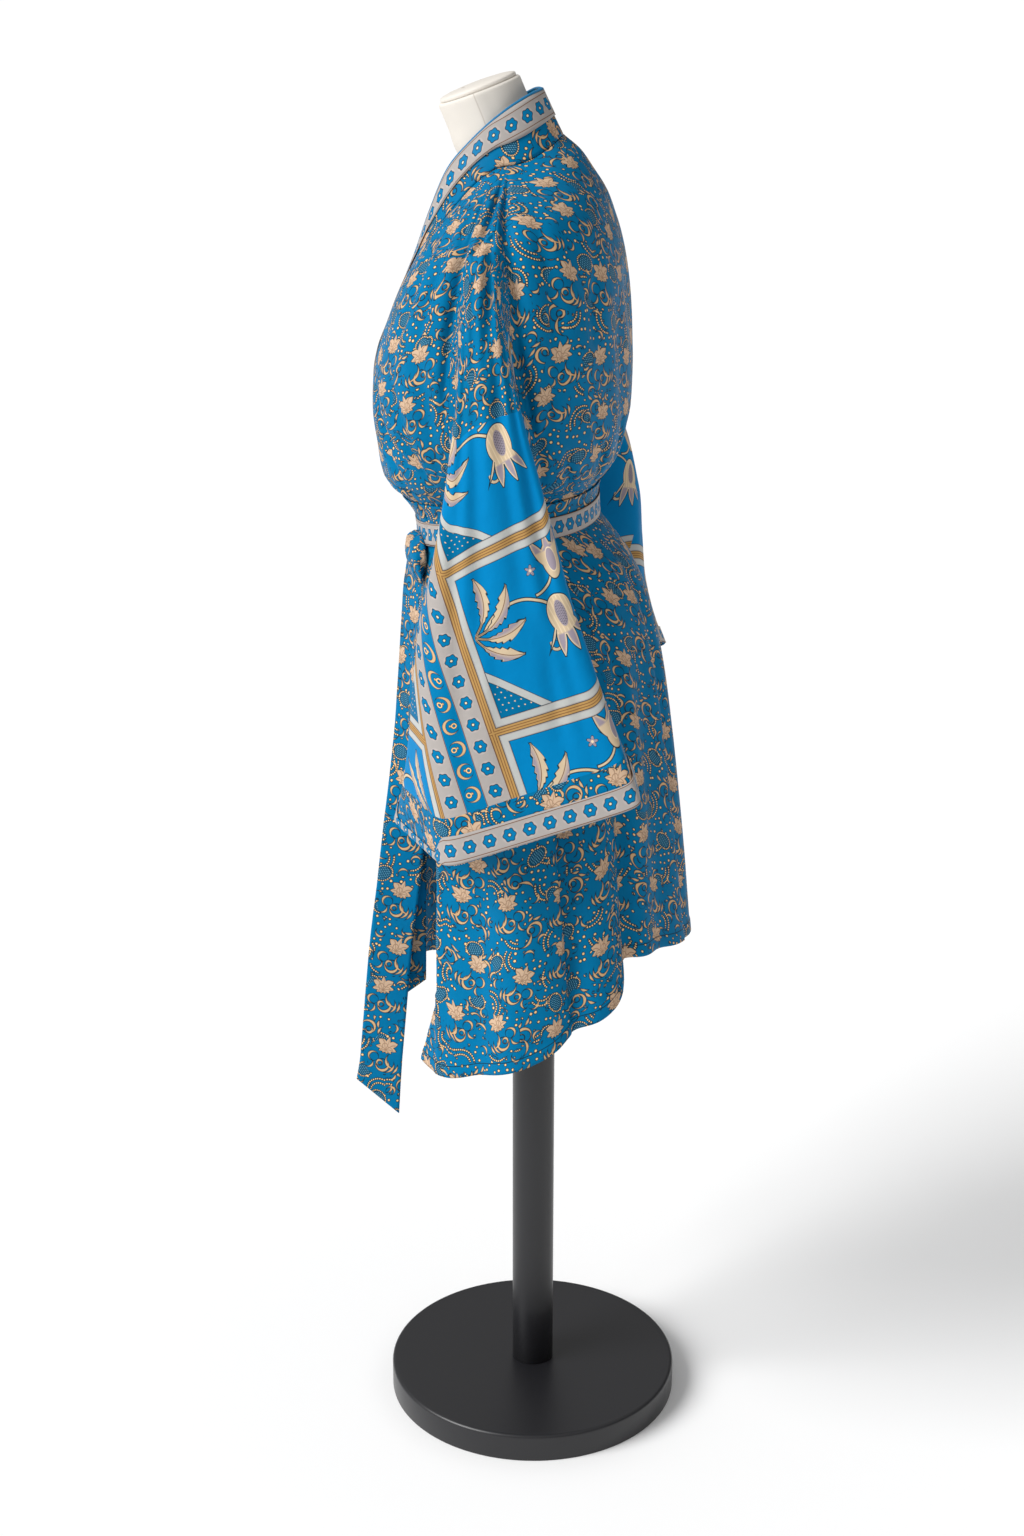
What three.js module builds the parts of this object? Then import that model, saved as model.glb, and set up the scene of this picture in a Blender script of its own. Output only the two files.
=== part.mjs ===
// Kimono worn by a limbless dress form on a round-based stand.
// Millimetres, +Z up, the wearer's front faces -Y and the wearer's left is +X.
// Every cloth piece is a thin closed wall laid on one body surface, which is
// worked out ring by ring from the tables below.
import * as THREE from "three";

// ---------------------------------------------------------------- sizes
const CLOTH = 1.4;          // wall that stands for one layer of printed satin
const TRIM = 1.0;           // wall of a sewn-on border strip
const SEAM = 0.35;          // gap left along every seam and between layers
const UNDER = 4.2;          // how far the right front lies beneath the left
const BASE_RADIUS = 175;
const BASE_HEIGHT = 35;
const POLE_RADIUS = 25;
const FORM_BOTTOM = 893;
const BAND_END_ROW = 14;  // the neckband ends beneath the belt at this row
const TAIL_WIDTH = 50;

// ---------------------------------------------------------------- tables
// Body rings from the neck seam (row 0) down to the belt's lower edge.
// z: height at the side; back, front: how much higher or lower the ring is
// there; cy: middle; a: half width; yf, yb: front and back; n: squareness.
const BODICE = {
  cols: ["z", "back", "front", "cy", "a", "yf", "yb", "n"],
  rows: [
    [1505, 23, -30, -25, 76, -84, 28, 2.0],
    [1492, 21, -42, -26, 106, -98, 45, 2.1],
    [1476, 13, -48, -28, 144, -111, 61, 2.2],
    [1458, 6, -47, -29, 176, -121, 75, 2.3],
    [1436, 0, -42, -30, 190, -131, 85, 2.35],
    [1402, 0, -32, -30, 195, -143, 94, 2.4],
    [1362, 0, -22, -30, 196, -155, 100, 2.4],
    [1322, 0, -12, -30, 195, -166, 103, 2.35],
    [1282, 0, -5, -30, 191, -173, 104, 2.3],
    [1242, 0, 0, -30, 184, -175, 103, 2.2],
    [1208, 0, 0, -30, 173, -172, 97, 2.1],
    [1184, 0, -4, -30, 159, -169, 88, 2.05],
    [1171, 0, -9, -30, 145, -163, 78, 2.0],
    [1161, 0, -8, -30, 135, -145, 70, 2.0],
    [1144, 0, -14, -30, 130, -129, 67, 2.0],
    [1120, 0, -16, -28, 131, -126, 68, 2.0],
  ],
};
// Skirt rings by height.
const SKIRT = {
  cols: ["z", "cy", "a", "yf", "yb"],
  rows: [
    [1120, -28, 131, -126, 68],
    [1100, -24, 137, -127, 84],
    [1071, -16, 147, -130, 106],
    [1019, -8, 158, -136, 130],
    [949, -2, 168, -142, 147],
    [877, 2, 177, -146, 158],
    [804, 6, 187, -149, 167],
    [730, 8, 196, -151, 175],
    [654, 10, 206, -153, 182],
    [600, 10, 211, -154, 187],
    [500, 10, 217, -156, 192],
  ],
};
// Height of the hem round the skirt, by angle from the left side (0) over
// the back (90) and the right side (180) to the front (270).
const HEM = {
  cols: ["deg", "z"],
  rows: [
    [-90, 545], [-60, 520], [-37, 510], [-20, 524], [-6, 539], [4, 551], [11, 563],
    [18, 582], [28, 597], [34, 615], [38, 652], [52, 650], [70, 638],
    [90, 630], [110, 634], [130, 646], [142, 650], [147, 622], [154, 598],
    [166, 580], [182, 557], [200, 538], [218, 520], [235, 516], [246, 520],
    [260, 536], [270, 552], [285, 566],
  ],
};
// Main hanging folds: angle at the top and at the hem, first and last row
// height, half width in degrees, depth in mm (inwards is positive).
const FOLDS = {
  cols: ["degTop", "degHem", "zTop", "zFull", "wide", "deep"],
  rows: [
    [22, 13, 1090, 760, 7, 13], [4, -4, 1080, 840, 8, -6], [30, 37, 1080, 820, 5, 12],
    [62, 60, 1090, 860, 8, 9], [98, 100, 1090, 800, 8, 10], [128, 126, 1090, 880, 7, 9],
    [150, 145, 1080, 820, 5, 12], [172, 176, 1090, 780, 8, 12], [205, 208, 1085, 840, 8, 10],
    [238, 236, 1090, 860, 7, 8], [-18, -20, 1085, 820, 7, 8],
  ],
};
// Angles of the seams by body row. side: side and shoulder seam; armF,
// armB: front and back edges of the left armhole.
const EDGES = {
  cols: ["row", "side", "armF", "armB"],
  rows: [
    [0, 2, 2, 2], [3, 2, 2, 2], [4, 3, -10, 13], [5, 4, -15, 17], [6, 4, -18, 20],
    [7, 4, -19, 22], [8, 4, -20, 24], [9, 4, -18, 22], [10, 5, -9, 16], [10.6, 6, 6, 6],
    [12, 10, 10, 10], [15, 20, 20, 20],
  ],
};
const ARM_TOP = 3.15, ARM_FOOT = 10.45;  // rows at the armhole's two ends
// The neckband's seam on the left: its x, the body row it lies on, and
// whether it is behind the neck (1) or in front (-1).
const BAND_SEAM = {
  cols: ["x", "row", "face"],
  rows: [
    [0, 0, 1], [36, 0, 1], [62, 0, 1], [75.95, 0, 1], [82, 0.5, -1], [90, 1.2, -1], [90, 2.2, -1],
    [85, 3.2, -1], [78, 4.2, -1], [68, 5.4, -1], [54, 6.9, -1], [34, 8.3, -1], [14, 9.7, -1],
    [-2, 12, -1], [-5, 13, -1], [-7, 14, -1],
  ],
};
// Its free edge: standing round the neck in mm, then on the chest by body row.
const BAND_EDGE = {
  cols: ["x", "y", "z"],
  rows: [
    [0, 6, 1574], [27, -2, 1572], [45, -17, 1564], [54, -38, 1549], [57, -62, 1527],
    [56, -86, 1499], [52, -106, 1455], [46, -123, 1410], [38, -138, 1375], [28, -154, 1335],
    [9, -169, 1290],
  ],
};
const LAPEL_EDGE = {
  cols: ["station", "x", "row"],
  rows: [[9, 28, 6.4], [10, 9, 7.6], [11, -12, 8.9], [12, -34, 10.2], [13, -50, 12], [14, -53, 13], [15, -55, 14]],
};
// Free front edges of the skirt by height, as angles. The right one reaches
// past the middle, beneath the left one.
const OPEN_EDGE = {
  cols: ["z", "left", "right"],
  rows: [
    [1120, -98, -82], [1085, -88, -81], [1055, -78, -80], [1000, -76, -80], [900, -78, -80],
    [500, -78, -80],
  ],
};
const LAPEL_FROM = 9;       // station at which the free edge comes to lie on the chest
const STATIONS = 15;        // stations along half the neckband
// The left front's free part below the belt folds back behind its corner.
const TURN_FROM = -38, TURN_TO = -80, TURN_DEEP = 94, TURN_TOP = 888, TURN_FULL = 700;
// Left sleeve sections from below the armhole to the cuff, each a rounded
// four-sided loop: xo, zo outer wall; xi, zi inner wall; of and ob: front and
// back of the outer wall; fx, ff: the inner wall's front corner; bx, bf: its
// back corner; rise: how much a section climbs per mm to the back.
const SLEEVE = {
  cols: ["xo", "zo", "bo", "of", "ob", "zi", "fx", "ff", "bx", "bf", "rise", "n"],
  rows: [
    [204, 1420, 204, -62, -4, 1215, 187, -66, 187, 12, 0, 2],
    [217, 1368, 217, -62, 2, 1196, 189, -68, 189, 16, 0, 2.1],
    [228, 1305, 228, -66, 8, 1176, 190, -71, 191, 20, 0.02, 2.3],
    [236, 1238, 235, -71, 22, 1144, 191, -76, 193, 28, 0.05, 2.6],
    [242, 1166, 240, -77, 40, 1106, 192, -84, 196, 38, 0.1, 3],
    [249, 1092, 245, -83, 60, 1058, 190, -94, 200, 52, 0.15, 3.2],
    [257, 1020, 251, -87, 82, 1000, 186, -106, 204, 72, 0.2, 3.4],
    [268, 948, 259, -88, 106, 942, 179, -116, 209, 96, 0.26, 3.6],
    [281, 882, 268, -86, 126, 888, 169, -124, 216, 114, 0.31, 3.8],
    [292, 836, 276, -82, 138, 848, 160, -130, 222, 124, 0.335, 4],
  ],
};
// The right sleeve hangs further back than the left one, by section.
const RIGHT_BACK = [0, 8, 20, 36, 46, 42, 26, 10, 2, 0];
// Hanging creases of the sleeve's outer wall: place across it at the top and
// at the cuff (-1 front, 1 back), half width, depth, and where they fade.
const CREASES = {
  cols: ["pTop", "pCuff", "wide", "deep", "last"],
  rows: [[-0.45, -0.2, 0.16, 9, 7.5], [0.2, 0.35, 0.15, 8, 6.5]],
};
// Dress form rings: height, middle, half width, half depth, lean.
const FORM = {
  cols: ["z", "cy", "a", "b", "lean"],
  rows: [
    [893, -2, 104, 78, 0], [897, -2, 122, 90, 0], [910, -2, 136, 101, 0], [935, -3, 144, 108, 0],
    [980, -6, 144, 108, 0], [1040, -14, 132, 98, 0], [1090, -24, 119, 85, 0], [1135, -32, 112, 77, 0],
    [1180, -36, 124, 86, 0], [1230, -42, 142, 100, 0], [1272, -45, 150, 104, 0], [1320, -41, 158, 96, 0],
    [1370, -36, 168, 86, 0], [1410, -33, 172, 76, 0], [1436, -30, 173, 64, 0], [1455.8, -27, 164, 53, 1],
    [1473.2, -25, 139, 44, 3], [1489, -25, 105.4, 39, 6], [1499.8, -29, 78.4, 42, 11], [1512, -35, 61, 46, 15],
    [1530, -43, 52, 48, 18], [1550, -51, 49, 47, 20], [1571, -60, 48, 47, 20], [1573.5, -61, 46.5, 45.5, 20],
  ],
};
// Hanging belt ends: centre line (x, y, z) and the way the strip faces, as
// the turn of its width from +X towards +Y in degrees.
const TAIL_LONG = {
  cols: ["x", "y", "z", "turn"],
  rows: [
    [18, -135, 1082.6, 6], [20, -138, 1060, 8], [27, -147, 990, 8], [37, -153, 920, 10],
    [50, -156, 860, 30], [54, -149, 815, 58], [56, -148, 775, 76], [56, -155, 700, 87],
    [56, -166, 606, 88], [56, -181, 437, 88], [56, -184, 400, 88],
  ],
};
const TAIL_SHORT = {
  cols: ["x", "y", "z", "turn"],
  rows: [
    [34, -139.5, 1082.6, 0], [36, -143.5, 1060, 2], [44, -153, 990, 6], [56, -159, 920, 10],
    [67, -156, 860, 30], [72, -147, 815, 58], [74, -143, 775, 74], [73, -141, 700, 80],
    [72, -141, 578, 80], [72, -141, 553, 80],
  ],
};
const TAIL_CUT = 21;        // how far the slanted cut reaches each way from the end
// Knot: rings from its foot to its head.
const KNOT = {
  cols: ["z", "x", "y", "a", "b"],
  rows: [[1083, 26, -137.5, 14, 4], [1088, 26, -137.5, 22, 6.5], [1106, 26, -137.5, 26, 7], [1124, 24, -137.5, 22, 6.5], [1130, 24, -137.5, 13, 4]],
};

// ---------------------------------------------------------------- helpers
const rad = (d) => (d * Math.PI) / 180;
const clamp = (v, lo, hi) => Math.min(hi, Math.max(lo, v));
const mix = (a, b, t) => a + (b - a) * t;
const ease = (t) => { const c = clamp(t, 0, 1); return c * c * (3 - 2 * c); };
const pow = (v, e) => Math.sign(v) * Math.pow(Math.abs(v), e);
const range = (n) => [...Array(n).keys()];
const sub = (a, b) => [a[0] - b[0], a[1] - b[1], a[2] - b[2]];
const add = (a, b, k = 1) => [a[0] + b[0] * k, a[1] + b[1] * k, a[2] + b[2] * k];
const cross = (a, b) => [a[1] * b[2] - a[2] * b[1], a[2] * b[0] - a[0] * b[2], a[0] * b[1] - a[1] * b[0]];
const norm = (a) => { const l = Math.hypot(...a) || 1; return a.map((v) => v / l); };
const lerp3 = (a, b, t) => [0, 1, 2].map((i) => mix(a[i], b[i], t));

// Value of a column at key, by a cubic through the rows that keeps to their
// rises and falls. Without keyName the key is the row number.
function at(table, name, key, keyName = null) {
  const c = table.cols.indexOf(name);
  const rows = table.rows;
  const k = keyName === null ? null : table.cols.indexOf(keyName);
  const pos = (i) => (k === null ? i : rows[i][k]);
  const up = pos(rows.length - 1) > pos(0) ? 1 : -1;
  const x = up * clamp(up * key, up * pos(0), up * pos(rows.length - 1));
  let i = 0;
  while (i < rows.length - 2 && up * x > up * pos(i + 1)) i += 1;
  const slope = (j) => {
    if (j <= 0 || j >= rows.length - 1) {
      const e = j <= 0 ? 0 : rows.length - 2;
      return (rows[e + 1][c] - rows[e][c]) / (pos(e + 1) - pos(e));
    }
    const s0 = (rows[j][c] - rows[j - 1][c]) / (pos(j) - pos(j - 1));
    const s1 = (rows[j + 1][c] - rows[j][c]) / (pos(j + 1) - pos(j));
    return s0 * s1 <= 0 ? 0 : (2 * s0 * s1) / (s0 + s1);
  };
  const h = pos(i + 1) - pos(i), t = (x - pos(i)) / h;
  const a = rows[i][c], b = rows[i + 1][c], m0 = slope(i) * h, m1 = slope(i + 1) * h;
  return a * (2 * t ** 3 - 3 * t * t + 1) + m0 * (t ** 3 - 2 * t * t + t)
    + b * (3 * t * t - 2 * t ** 3) + m1 * (t ** 3 - t * t);
}

// Ring point: a rounded oblong of half width a, from yf to yb about cy.
function ringPoint(deg, a, cy, yf, yb, n, z, lift) {
  const c = Math.cos(rad(deg)), s = Math.sin(rad(deg)), e = 2 / n;
  const b = s >= 0 ? yb - cy : cy - yf;
  const nx = c / a, ny = s / b, nl = Math.hypot(nx, ny);
  return [a * pow(c, e) + (lift * nx) / nl, cy + b * pow(s, e) + (lift * ny) / nl, z];
}

function foldDepth(deg, z) {
  let d = 0;
  for (const [top, hem, zTop, zFull, wide, deep] of FOLDS.rows) {
    const t = clamp((zTop - z) / (zTop - zFull), 0, 1);
    const where = mix(top, hem, clamp((zTop - z) / (zTop - 560), 0, 1));
    const gap = ((deg - where + 540) % 360) - 180;
    d += deep * ease(t) * Math.exp(-((gap / wide) ** 2));
  }
  return d;
}

// Body surface above the belt's lower edge: deg round it, row down it.
function bodice(deg, row, lift = 0) {
  const v = (name) => at(BODICE, name, row);
  const s = Math.sin(rad(deg));
  const z = v("z") + (s > 0 ? v("back") * s * s : v("front") * Math.pow(-s, 1.5));
  return ringPoint(deg, v("a"), v("cy"), v("yf"), v("yb"), v("n"), z, lift);
}

// Skirt surface: t runs from the belt's lower edge (0) to the hem (1).
function skirt(deg, t, lift = 0) {
  const s = Math.sin(rad(deg));
  const start = 1120 + (s < 0 ? -16 * Math.pow(-s, 1.5) : 0);
  const z = mix(start, at(HEM, "z", deg, "deg"), t);
  const zr = z + (1120 - start) * (1 - clamp(t * 4, 0, 1));
  const v = (name) => at(SKIRT, name, zr, "z");
  return ringPoint(deg, v("a"), v("cy"), v("yf"), v("yb"), 2, z, lift - foldDepth(deg, z));
}

// Whole body: rows 0 to 15 are the bodice, 15 to 25 the skirt.
const WAIST_ROW = 15, HEM_ROW = 25;
function body(deg, row, lift = 0) {
  if (row <= WAIST_ROW) return bodice(deg, row, lift);
  return skirt(deg, (row - WAIST_ROW) / (HEM_ROW - WAIST_ROW), lift);
}

// The same with the right front's tuck beneath the left one, and moved out
// by some mm along the surface's own normal.
function turnIn(deg, z) {
  return TURN_DEEP * ease((TURN_FROM - deg) / (TURN_FROM - TURN_TO)) * ease((TURN_TOP - z) / (TURN_TOP - TURN_FULL));
}
function cloth(deg, row, out = 0, under = false) {
  const p = (d, r) => (r > WAIST_ROW && d < TURN_FROM ? body(d, r, -turnIn(d, body(d, r)[2])) : body(d, r));
  const mid = p(deg, row);
  const shift = under ? out - UNDER * ease((deg - 222) / 22) : out;
  if (shift === 0) return mid;
  const r0 = Math.max(0, row - 0.02), r1 = Math.min(HEM_ROW, row + 0.02);
  const normal = norm(cross(sub(p(deg + 0.2, row), p(deg - 0.2, row)), sub(p(deg, r1), p(deg, r0))));
  return add(mid, normal, -shift);
}

// Normals of a grid of points; wrap closes it round its columns.
function gridNormals(grid, wrap) {
  const m = grid.length, n = grid[0].length;
  return grid.map((line, i) => line.map((_, j) => {
    const j0 = wrap ? (j + n - 1) % n : Math.max(0, j - 1);
    const j1 = wrap ? (j + 1) % n : Math.min(n - 1, j + 1);
    const du = sub(grid[i][j1], grid[i][j0]);
    const dv = sub(grid[Math.min(m - 1, i + 1)][j], grid[Math.max(0, i - 1)][j]);
    return norm(cross(dv, du));
  }));
}

// Closed wall: the grid moved out by `out` and in by `inn` along its normals,
// joined round its edges. The grid's normals point to the outer face.
function wall(grid, out, inn, wrap = false, side = 1) {
  const normals = gridNormals(grid, wrap);
  const skin = (d) => grid.map((line, i) => line.map((p, j) => add(p, normals[i][j], side * d)));
  return shell(skin(out), skin(-inn), wrap);
}

// Closed wall between two grids of the same size, joined round their edges.
function shell(outer, inner, wrap = false) {
  const m = outer.length, n = outer[0].length;
  const pts = [...outer.flat(), ...inner.flat()];
  const o = (i, j) => i * n + (wrap ? (j + n) % n : j);
  const k = (i, j) => m * n + o(i, j);
  const faces = [];
  const quad = (a, b, c, d) => faces.push([a, b, c], [a, c, d]);
  const cols = wrap ? n : n - 1;
  for (let i = 0; i < m - 1; i += 1) {
    for (let j = 0; j < cols; j += 1) {
      quad(o(i, j), o(i + 1, j), o(i + 1, j + 1), o(i, j + 1));
      quad(k(i, j), k(i, j + 1), k(i + 1, j + 1), k(i + 1, j));
    }
  }
  for (let j = 0; j < cols; j += 1) {
    quad(o(0, j), o(0, j + 1), k(0, j + 1), k(0, j));
    quad(o(m - 1, j), k(m - 1, j), k(m - 1, j + 1), o(m - 1, j + 1));
  }
  if (!wrap) {
    for (let i = 0; i < m - 1; i += 1) {
      quad(o(i, 0), k(i, 0), k(i + 1, 0), o(i + 1, 0));
      quad(o(i, n - 1), o(i + 1, n - 1), k(i + 1, n - 1), k(i, n - 1));
    }
  }
  return solid(pts, faces);
}

// Closed body of rings, capped at both ends by fans to their middles.
function loft(rings) {
  const n = rings[0].length, pts = rings.flat(), faces = [];
  for (let i = 0; i < rings.length - 1; i += 1) {
    for (let j = 0; j < n; j += 1) {
      const a = i * n + j, b = i * n + ((j + 1) % n);
      faces.push([a, b, b + n], [a, b + n, a + n]);
    }
  }
  const middle = (ring) => ring.reduce((s, p) => add(s, p, 1 / ring.length), [0, 0, 0]);
  const low = pts.push(middle(rings[0])) - 1;
  const high = pts.push(middle(rings[rings.length - 1])) - 1;
  const last = (rings.length - 1) * n;
  for (let j = 0; j < n; j += 1) {
    faces.push([low, (j + 1) % n, j], [high, last + j, last + ((j + 1) % n)]);
  }
  return solid(pts, faces);
}

// Signed volume, so that every closed body is turned to face outwards.
function solid(pts, faces) {
  let v = 0;
  for (const [a, b, c] of faces) {
    const n = cross(pts[b], pts[c]);
    v += pts[a][0] * n[0] + pts[a][1] * n[1] + pts[a][2] * n[2];
  }
  const turned = v < 0 ? faces.map(([a, b, c]) => [a, c, b]) : faces;
  const g = new THREE.BufferGeometry();
  g.setAttribute("position", new THREE.Float32BufferAttribute(pts.flat(), 3));
  g.setIndex(turned.flat());
  return g;
}

const model = new THREE.Group();
model.name = "kimono_on_dress_form";
const CLOTH_COLOUR = 0x0a6fa6, BORDER_COLOUR = 0xaaa19c, FORM_COLOUR = 0xe8e0d4, METAL_COLOUR = 0x242427;
function put(name, geometry, color) {
  const mesh = new THREE.Mesh(geometry, new THREE.MeshStandardMaterial({ color }));
  mesh.name = name;
  model.add(mesh);
}

// ---------------------------------------------------------------- panels
const edge = (name, row) => at(EDGES, name, row, "row");
const inArm = (row) => row > ARM_TOP && row < ARM_FOOT;
// Degrees that a gap of some mm takes on a ring about 150 mm in radius.
const gapDeg = (mm) => (mm / 150) * 57.3;

const BACK_ROWS = [0, 1, 2, 2.7, 3.3, 4, 5, 6, 7, 8, 9, 9.8, 10.5, 11.3, 12, 13, 14, 15, 16.2, 17.6, 19.2, 21, 23, 25];

// Seam angle at a row: the shoulder and side seam, or the armhole's edge.
function seamAngle(row, name) {
  return inArm(row) ? edge(name, row) : edge("side", row);
}
// Side seam of the skirt, which swings to the back as it falls.
function skirtSide(row) {
  return row <= WAIST_ROW ? 20 : mix(20, 36, ease((row - WAIST_ROW) / 8));
}
function leftEdgeOfBack(row) {
  const s = row > WAIST_ROW ? skirtSide(row) : seamAngle(row, "armB");
  return s + gapDeg(SEAM / 2 + 0.1);
}
function frontSideEdge(row) {
  const s = row > WAIST_ROW ? skirtSide(row) : seamAngle(row, "armF");
  return s - gapDeg(SEAM / 2 + 0.1);
}
// Angle on a ring at which it has a given x, in front (-1) or behind (1).
function ringDeg(x, row, face) {
  const a = at(BODICE, "a", row), n = at(BODICE, "n", row);
  return face * (Math.acos(clamp(pow(x / a, n / 2), -1, 1)) * 180) / Math.PI;
}
const SEAM_LINE = {
  cols: ["deg", "row"],
  rows: BAND_SEAM.rows.map(([x, row, face]) => [ringDeg(x, row, face), row]),
};
const LAPEL_LINE = {
  cols: ["station", "deg", "row"],
  rows: LAPEL_EDGE.rows.map(([station, x, row]) => [station, ringDeg(x, row, -1), row]),
};
// Angle of the neckband's seam at a body row, by halving along the seam.
function bandSeam(row) {
  let lo = 3, hi = STATIONS;
  for (let i = 0; i < 30; i += 1) {
    const m = (lo + hi) / 2;
    if (at(SEAM_LINE, "row", m) < row) lo = m; else hi = m;
  }
  return at(SEAM_LINE, "deg", lo);
}
// Angle of the front edge: the neckband's seam above the belt and the open
// edge below it, where the right front reaches past the middle.
function frontEdge(row, side) {
  const opening = (r) => {
    const z = skirt(-60, (r - WAIST_ROW) / (HEM_ROW - WAIST_ROW))[2];
    const deg = at(OPEN_EDGE, side, z, "z");
    return side === "left" ? deg : -180 - deg;
  };
  if (row >= WAIST_ROW) return opening(row);
  const own = bandSeam(Math.min(row, BAND_END_ROW)) + gapDeg(0.8);
  return mix(own, opening(WAIST_ROW), ease(row - BAND_END_ROW));
}

// Back panel: from the right side to the left side.
function panel(rows, cols, angles, under = false) {
  const skin = (out) => rows.map((row) => {
    const [a, b] = angles(row);
    return range(cols).map((j) => cloth(mix(a, b, j / (cols - 1)), row, out, under));
  });
  return shell(skin(0), skin(-CLOTH));
}
put("back", panel(BACK_ROWS, 17, (row) => {
  const a = leftEdgeOfBack(row);
  return [a, 180 - a];
}), CLOTH_COLOUR);

const FRONT_FIRST = 0.12;
const FRONT_ROWS = [FRONT_FIRST, 0.5, 1, 1.5, ...BACK_ROWS.filter((r) => r > 1.5)];
put("left_front", panel(FRONT_ROWS, 12, (row) => {
  const a = frontSideEdge(row), b = frontEdge(row, "left");
  return [a, row === FRONT_FIRST ? Math.min(b, a - 3) : b];
}), CLOTH_COLOUR);
put("right_front", panel(FRONT_ROWS, 14, (row) => {
  const a = frontSideEdge(row), b = frontEdge(row, "right");
  return [180 - a, 180 - (row === FRONT_FIRST ? Math.min(b, a - 3) : b)];
}, true), CLOTH_COLOUR);

// Neckband: straight across from its seam to its free edge where it stands
// round the neck, and on the chest's own curve where it lies there.
function bandPoint(k, u, side) {
  const right = side === "right";
  const turn = (deg) => (right ? 180 - deg : deg);
  const deg = at(SEAM_LINE, "deg", k), row = at(SEAM_LINE, "row", k);
  const from = cloth(turn(deg), row, 0, right);
  const to = ["x", "y", "z"].map((c) => at(BAND_EDGE, c, Math.min(k, 10)));
  if (right) to[0] = -to[0];
  let p = lerp3(from, to, u), end = to;
  if (k > LAPEL_FROM) {
    const d = at(LAPEL_LINE, "deg", k, "station"), r = at(LAPEL_LINE, "row", k, "station");
    const t = ease(k - LAPEL_FROM);
    end = lerp3(to, cloth(turn(d), r, 0, right), t);
    p = lerp3(p, cloth(turn(mix(deg, d, u)), mix(row, r, u), 0, right), t);
  }
  return add(p, norm(sub(end, from)), 0.7 * (1 - u));
}
// Stations from the right front's end over the nape to the left front's end.
const HALF_STEPS = [...range(21).map((i) => i / 2).filter((k) => k > 0), 10.5, 11, 11.5, 12, 12.5, 13, 14, 15];
const BAND_STEPS = [...HALF_STEPS.map((k) => -k).reverse(), 0, ...HALF_STEPS];
const BORDER_FROM = 0.44, BORDER_TO = 0.985;
const bandGrid = (across, steps = BAND_STEPS) =>
  steps.map((k) => across.map((u) => bandPoint(Math.abs(k), u, k < 0 ? "right" : "left")));
put("neckband", wall(bandGrid([0, BORDER_FROM, 1]), 0, CLOTH, false, -1), CLOTH_COLOUR);
const borderGrid = bandGrid([BORDER_FROM, 1], BAND_STEPS.filter((k) => Math.abs(k) <= 13))
  .map(([from, to]) => [from, lerp3(from, to, (BORDER_TO - BORDER_FROM) / (1 - BORDER_FROM))]);
put("neckband_border", wall(borderGrid, 0.7 + TRIM, -0.7, false, -1), BORDER_COLOUR);

// Sleeves: the first loop lies in the armhole, the rest hang below it.
const LOOP = 24;
const ARM_ROWS = BACK_ROWS.filter((r) => r > ARM_TOP && r < ARM_FOOT);
function armLoop(right) {
  const place = (deg, row) => cloth(right ? 180 - deg : deg, row, 0, right);
  const inset = gapDeg(0.55);
  const back = ARM_ROWS.map((r) => place(edge("armB", r) - inset, r));
  const front = ARM_ROWS.map((r) => place(edge("armF", r) + inset, r));
  const top = place(edge("side", ARM_TOP), ARM_TOP + 0.08), foot = place(edge("side", ARM_FOOT), ARM_FOOT - 0.1);
  const along = (line) => {
    const lengths = [0];
    for (let i = 1; i < line.length; i += 1) lengths.push(lengths[i - 1] + Math.hypot(...sub(line[i], line[i - 1])));
    const total = lengths[lengths.length - 1];
    return (t) => {
      const d = t * total;
      let i = 1;
      while (i < line.length - 1 && lengths[i] < d) i += 1;
      return lerp3(line[i - 1], line[i], (d - lengths[i - 1]) / (lengths[i] - lengths[i - 1]));
    };
  };
  const down = along([top, ...back, foot]), up = along([foot, ...front.reverse(), top]);
  return range(LOOP).map((i) => (i < LOOP / 2 ? down((2 * i) / LOOP) : up((2 * i) / LOOP - 1)));
}
function sleeveLoop(s, right) {
  const v = (name) => at(SLEEVE, name, s);
  const shift = right ? mix(RIGHT_BACK[Math.floor(s)], RIGHT_BACK[Math.min(9, Math.floor(s) + 1)], s % 1) : 0;
  return range(LOOP).map((i) => {
    const t = (2 * Math.PI * i) / LOOP, e = 2 / v("n");
    const q = pow(Math.cos(t), e), p = pow(Math.sin(t), e), h = (1 + q) / 2, w = (1 + p) / 2;
    let x = mix(mix(v("fx"), v("bx"), w), mix(v("xo"), v("bo"), w), h);
    const y = mix(mix(v("ff"), v("bf"), w), mix(v("of"), v("ob"), w), h) + shift * w;
    for (const [p0, p1, wide, deep, last] of CREASES.rows) {
      const fade = ease((last - s) / 3) * ease(s + 0.3);
      x -= deep * fade * Math.exp(-(((p - mix(p0, p1, s / 9)) / wide) ** 2)) * ease((q - 0.2) / 0.6);
    }
    const z = mix(v("zi"), v("zo"), h) + v("rise") * y;
    return [right ? -x : x, y, z];
  });
}
const SLEEVE_STEPS = [0, 0.6, 1.3, 2, 3, 4, 5, 6, 7, 8, 8.45, 9];
for (const name of ["left", "right"]) {
  const right = name === "right";
  const loops = [armLoop(right), ...SLEEVE_STEPS.map((s) => sleeveLoop(s, right))];
  put(`${name}_sleeve`, wall(loops, 0, CLOTH, true, right ? -1 : 1), CLOTH_COLOUR);
  const cuff = [8.45, 8.97].map((s) => sleeveLoop(s, right));
  put(`${name}_cuff_border`, wall(cuff, 0.6 + TRIM, -0.6, true, right ? -1 : 1), BORDER_COLOUR);
}

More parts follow.
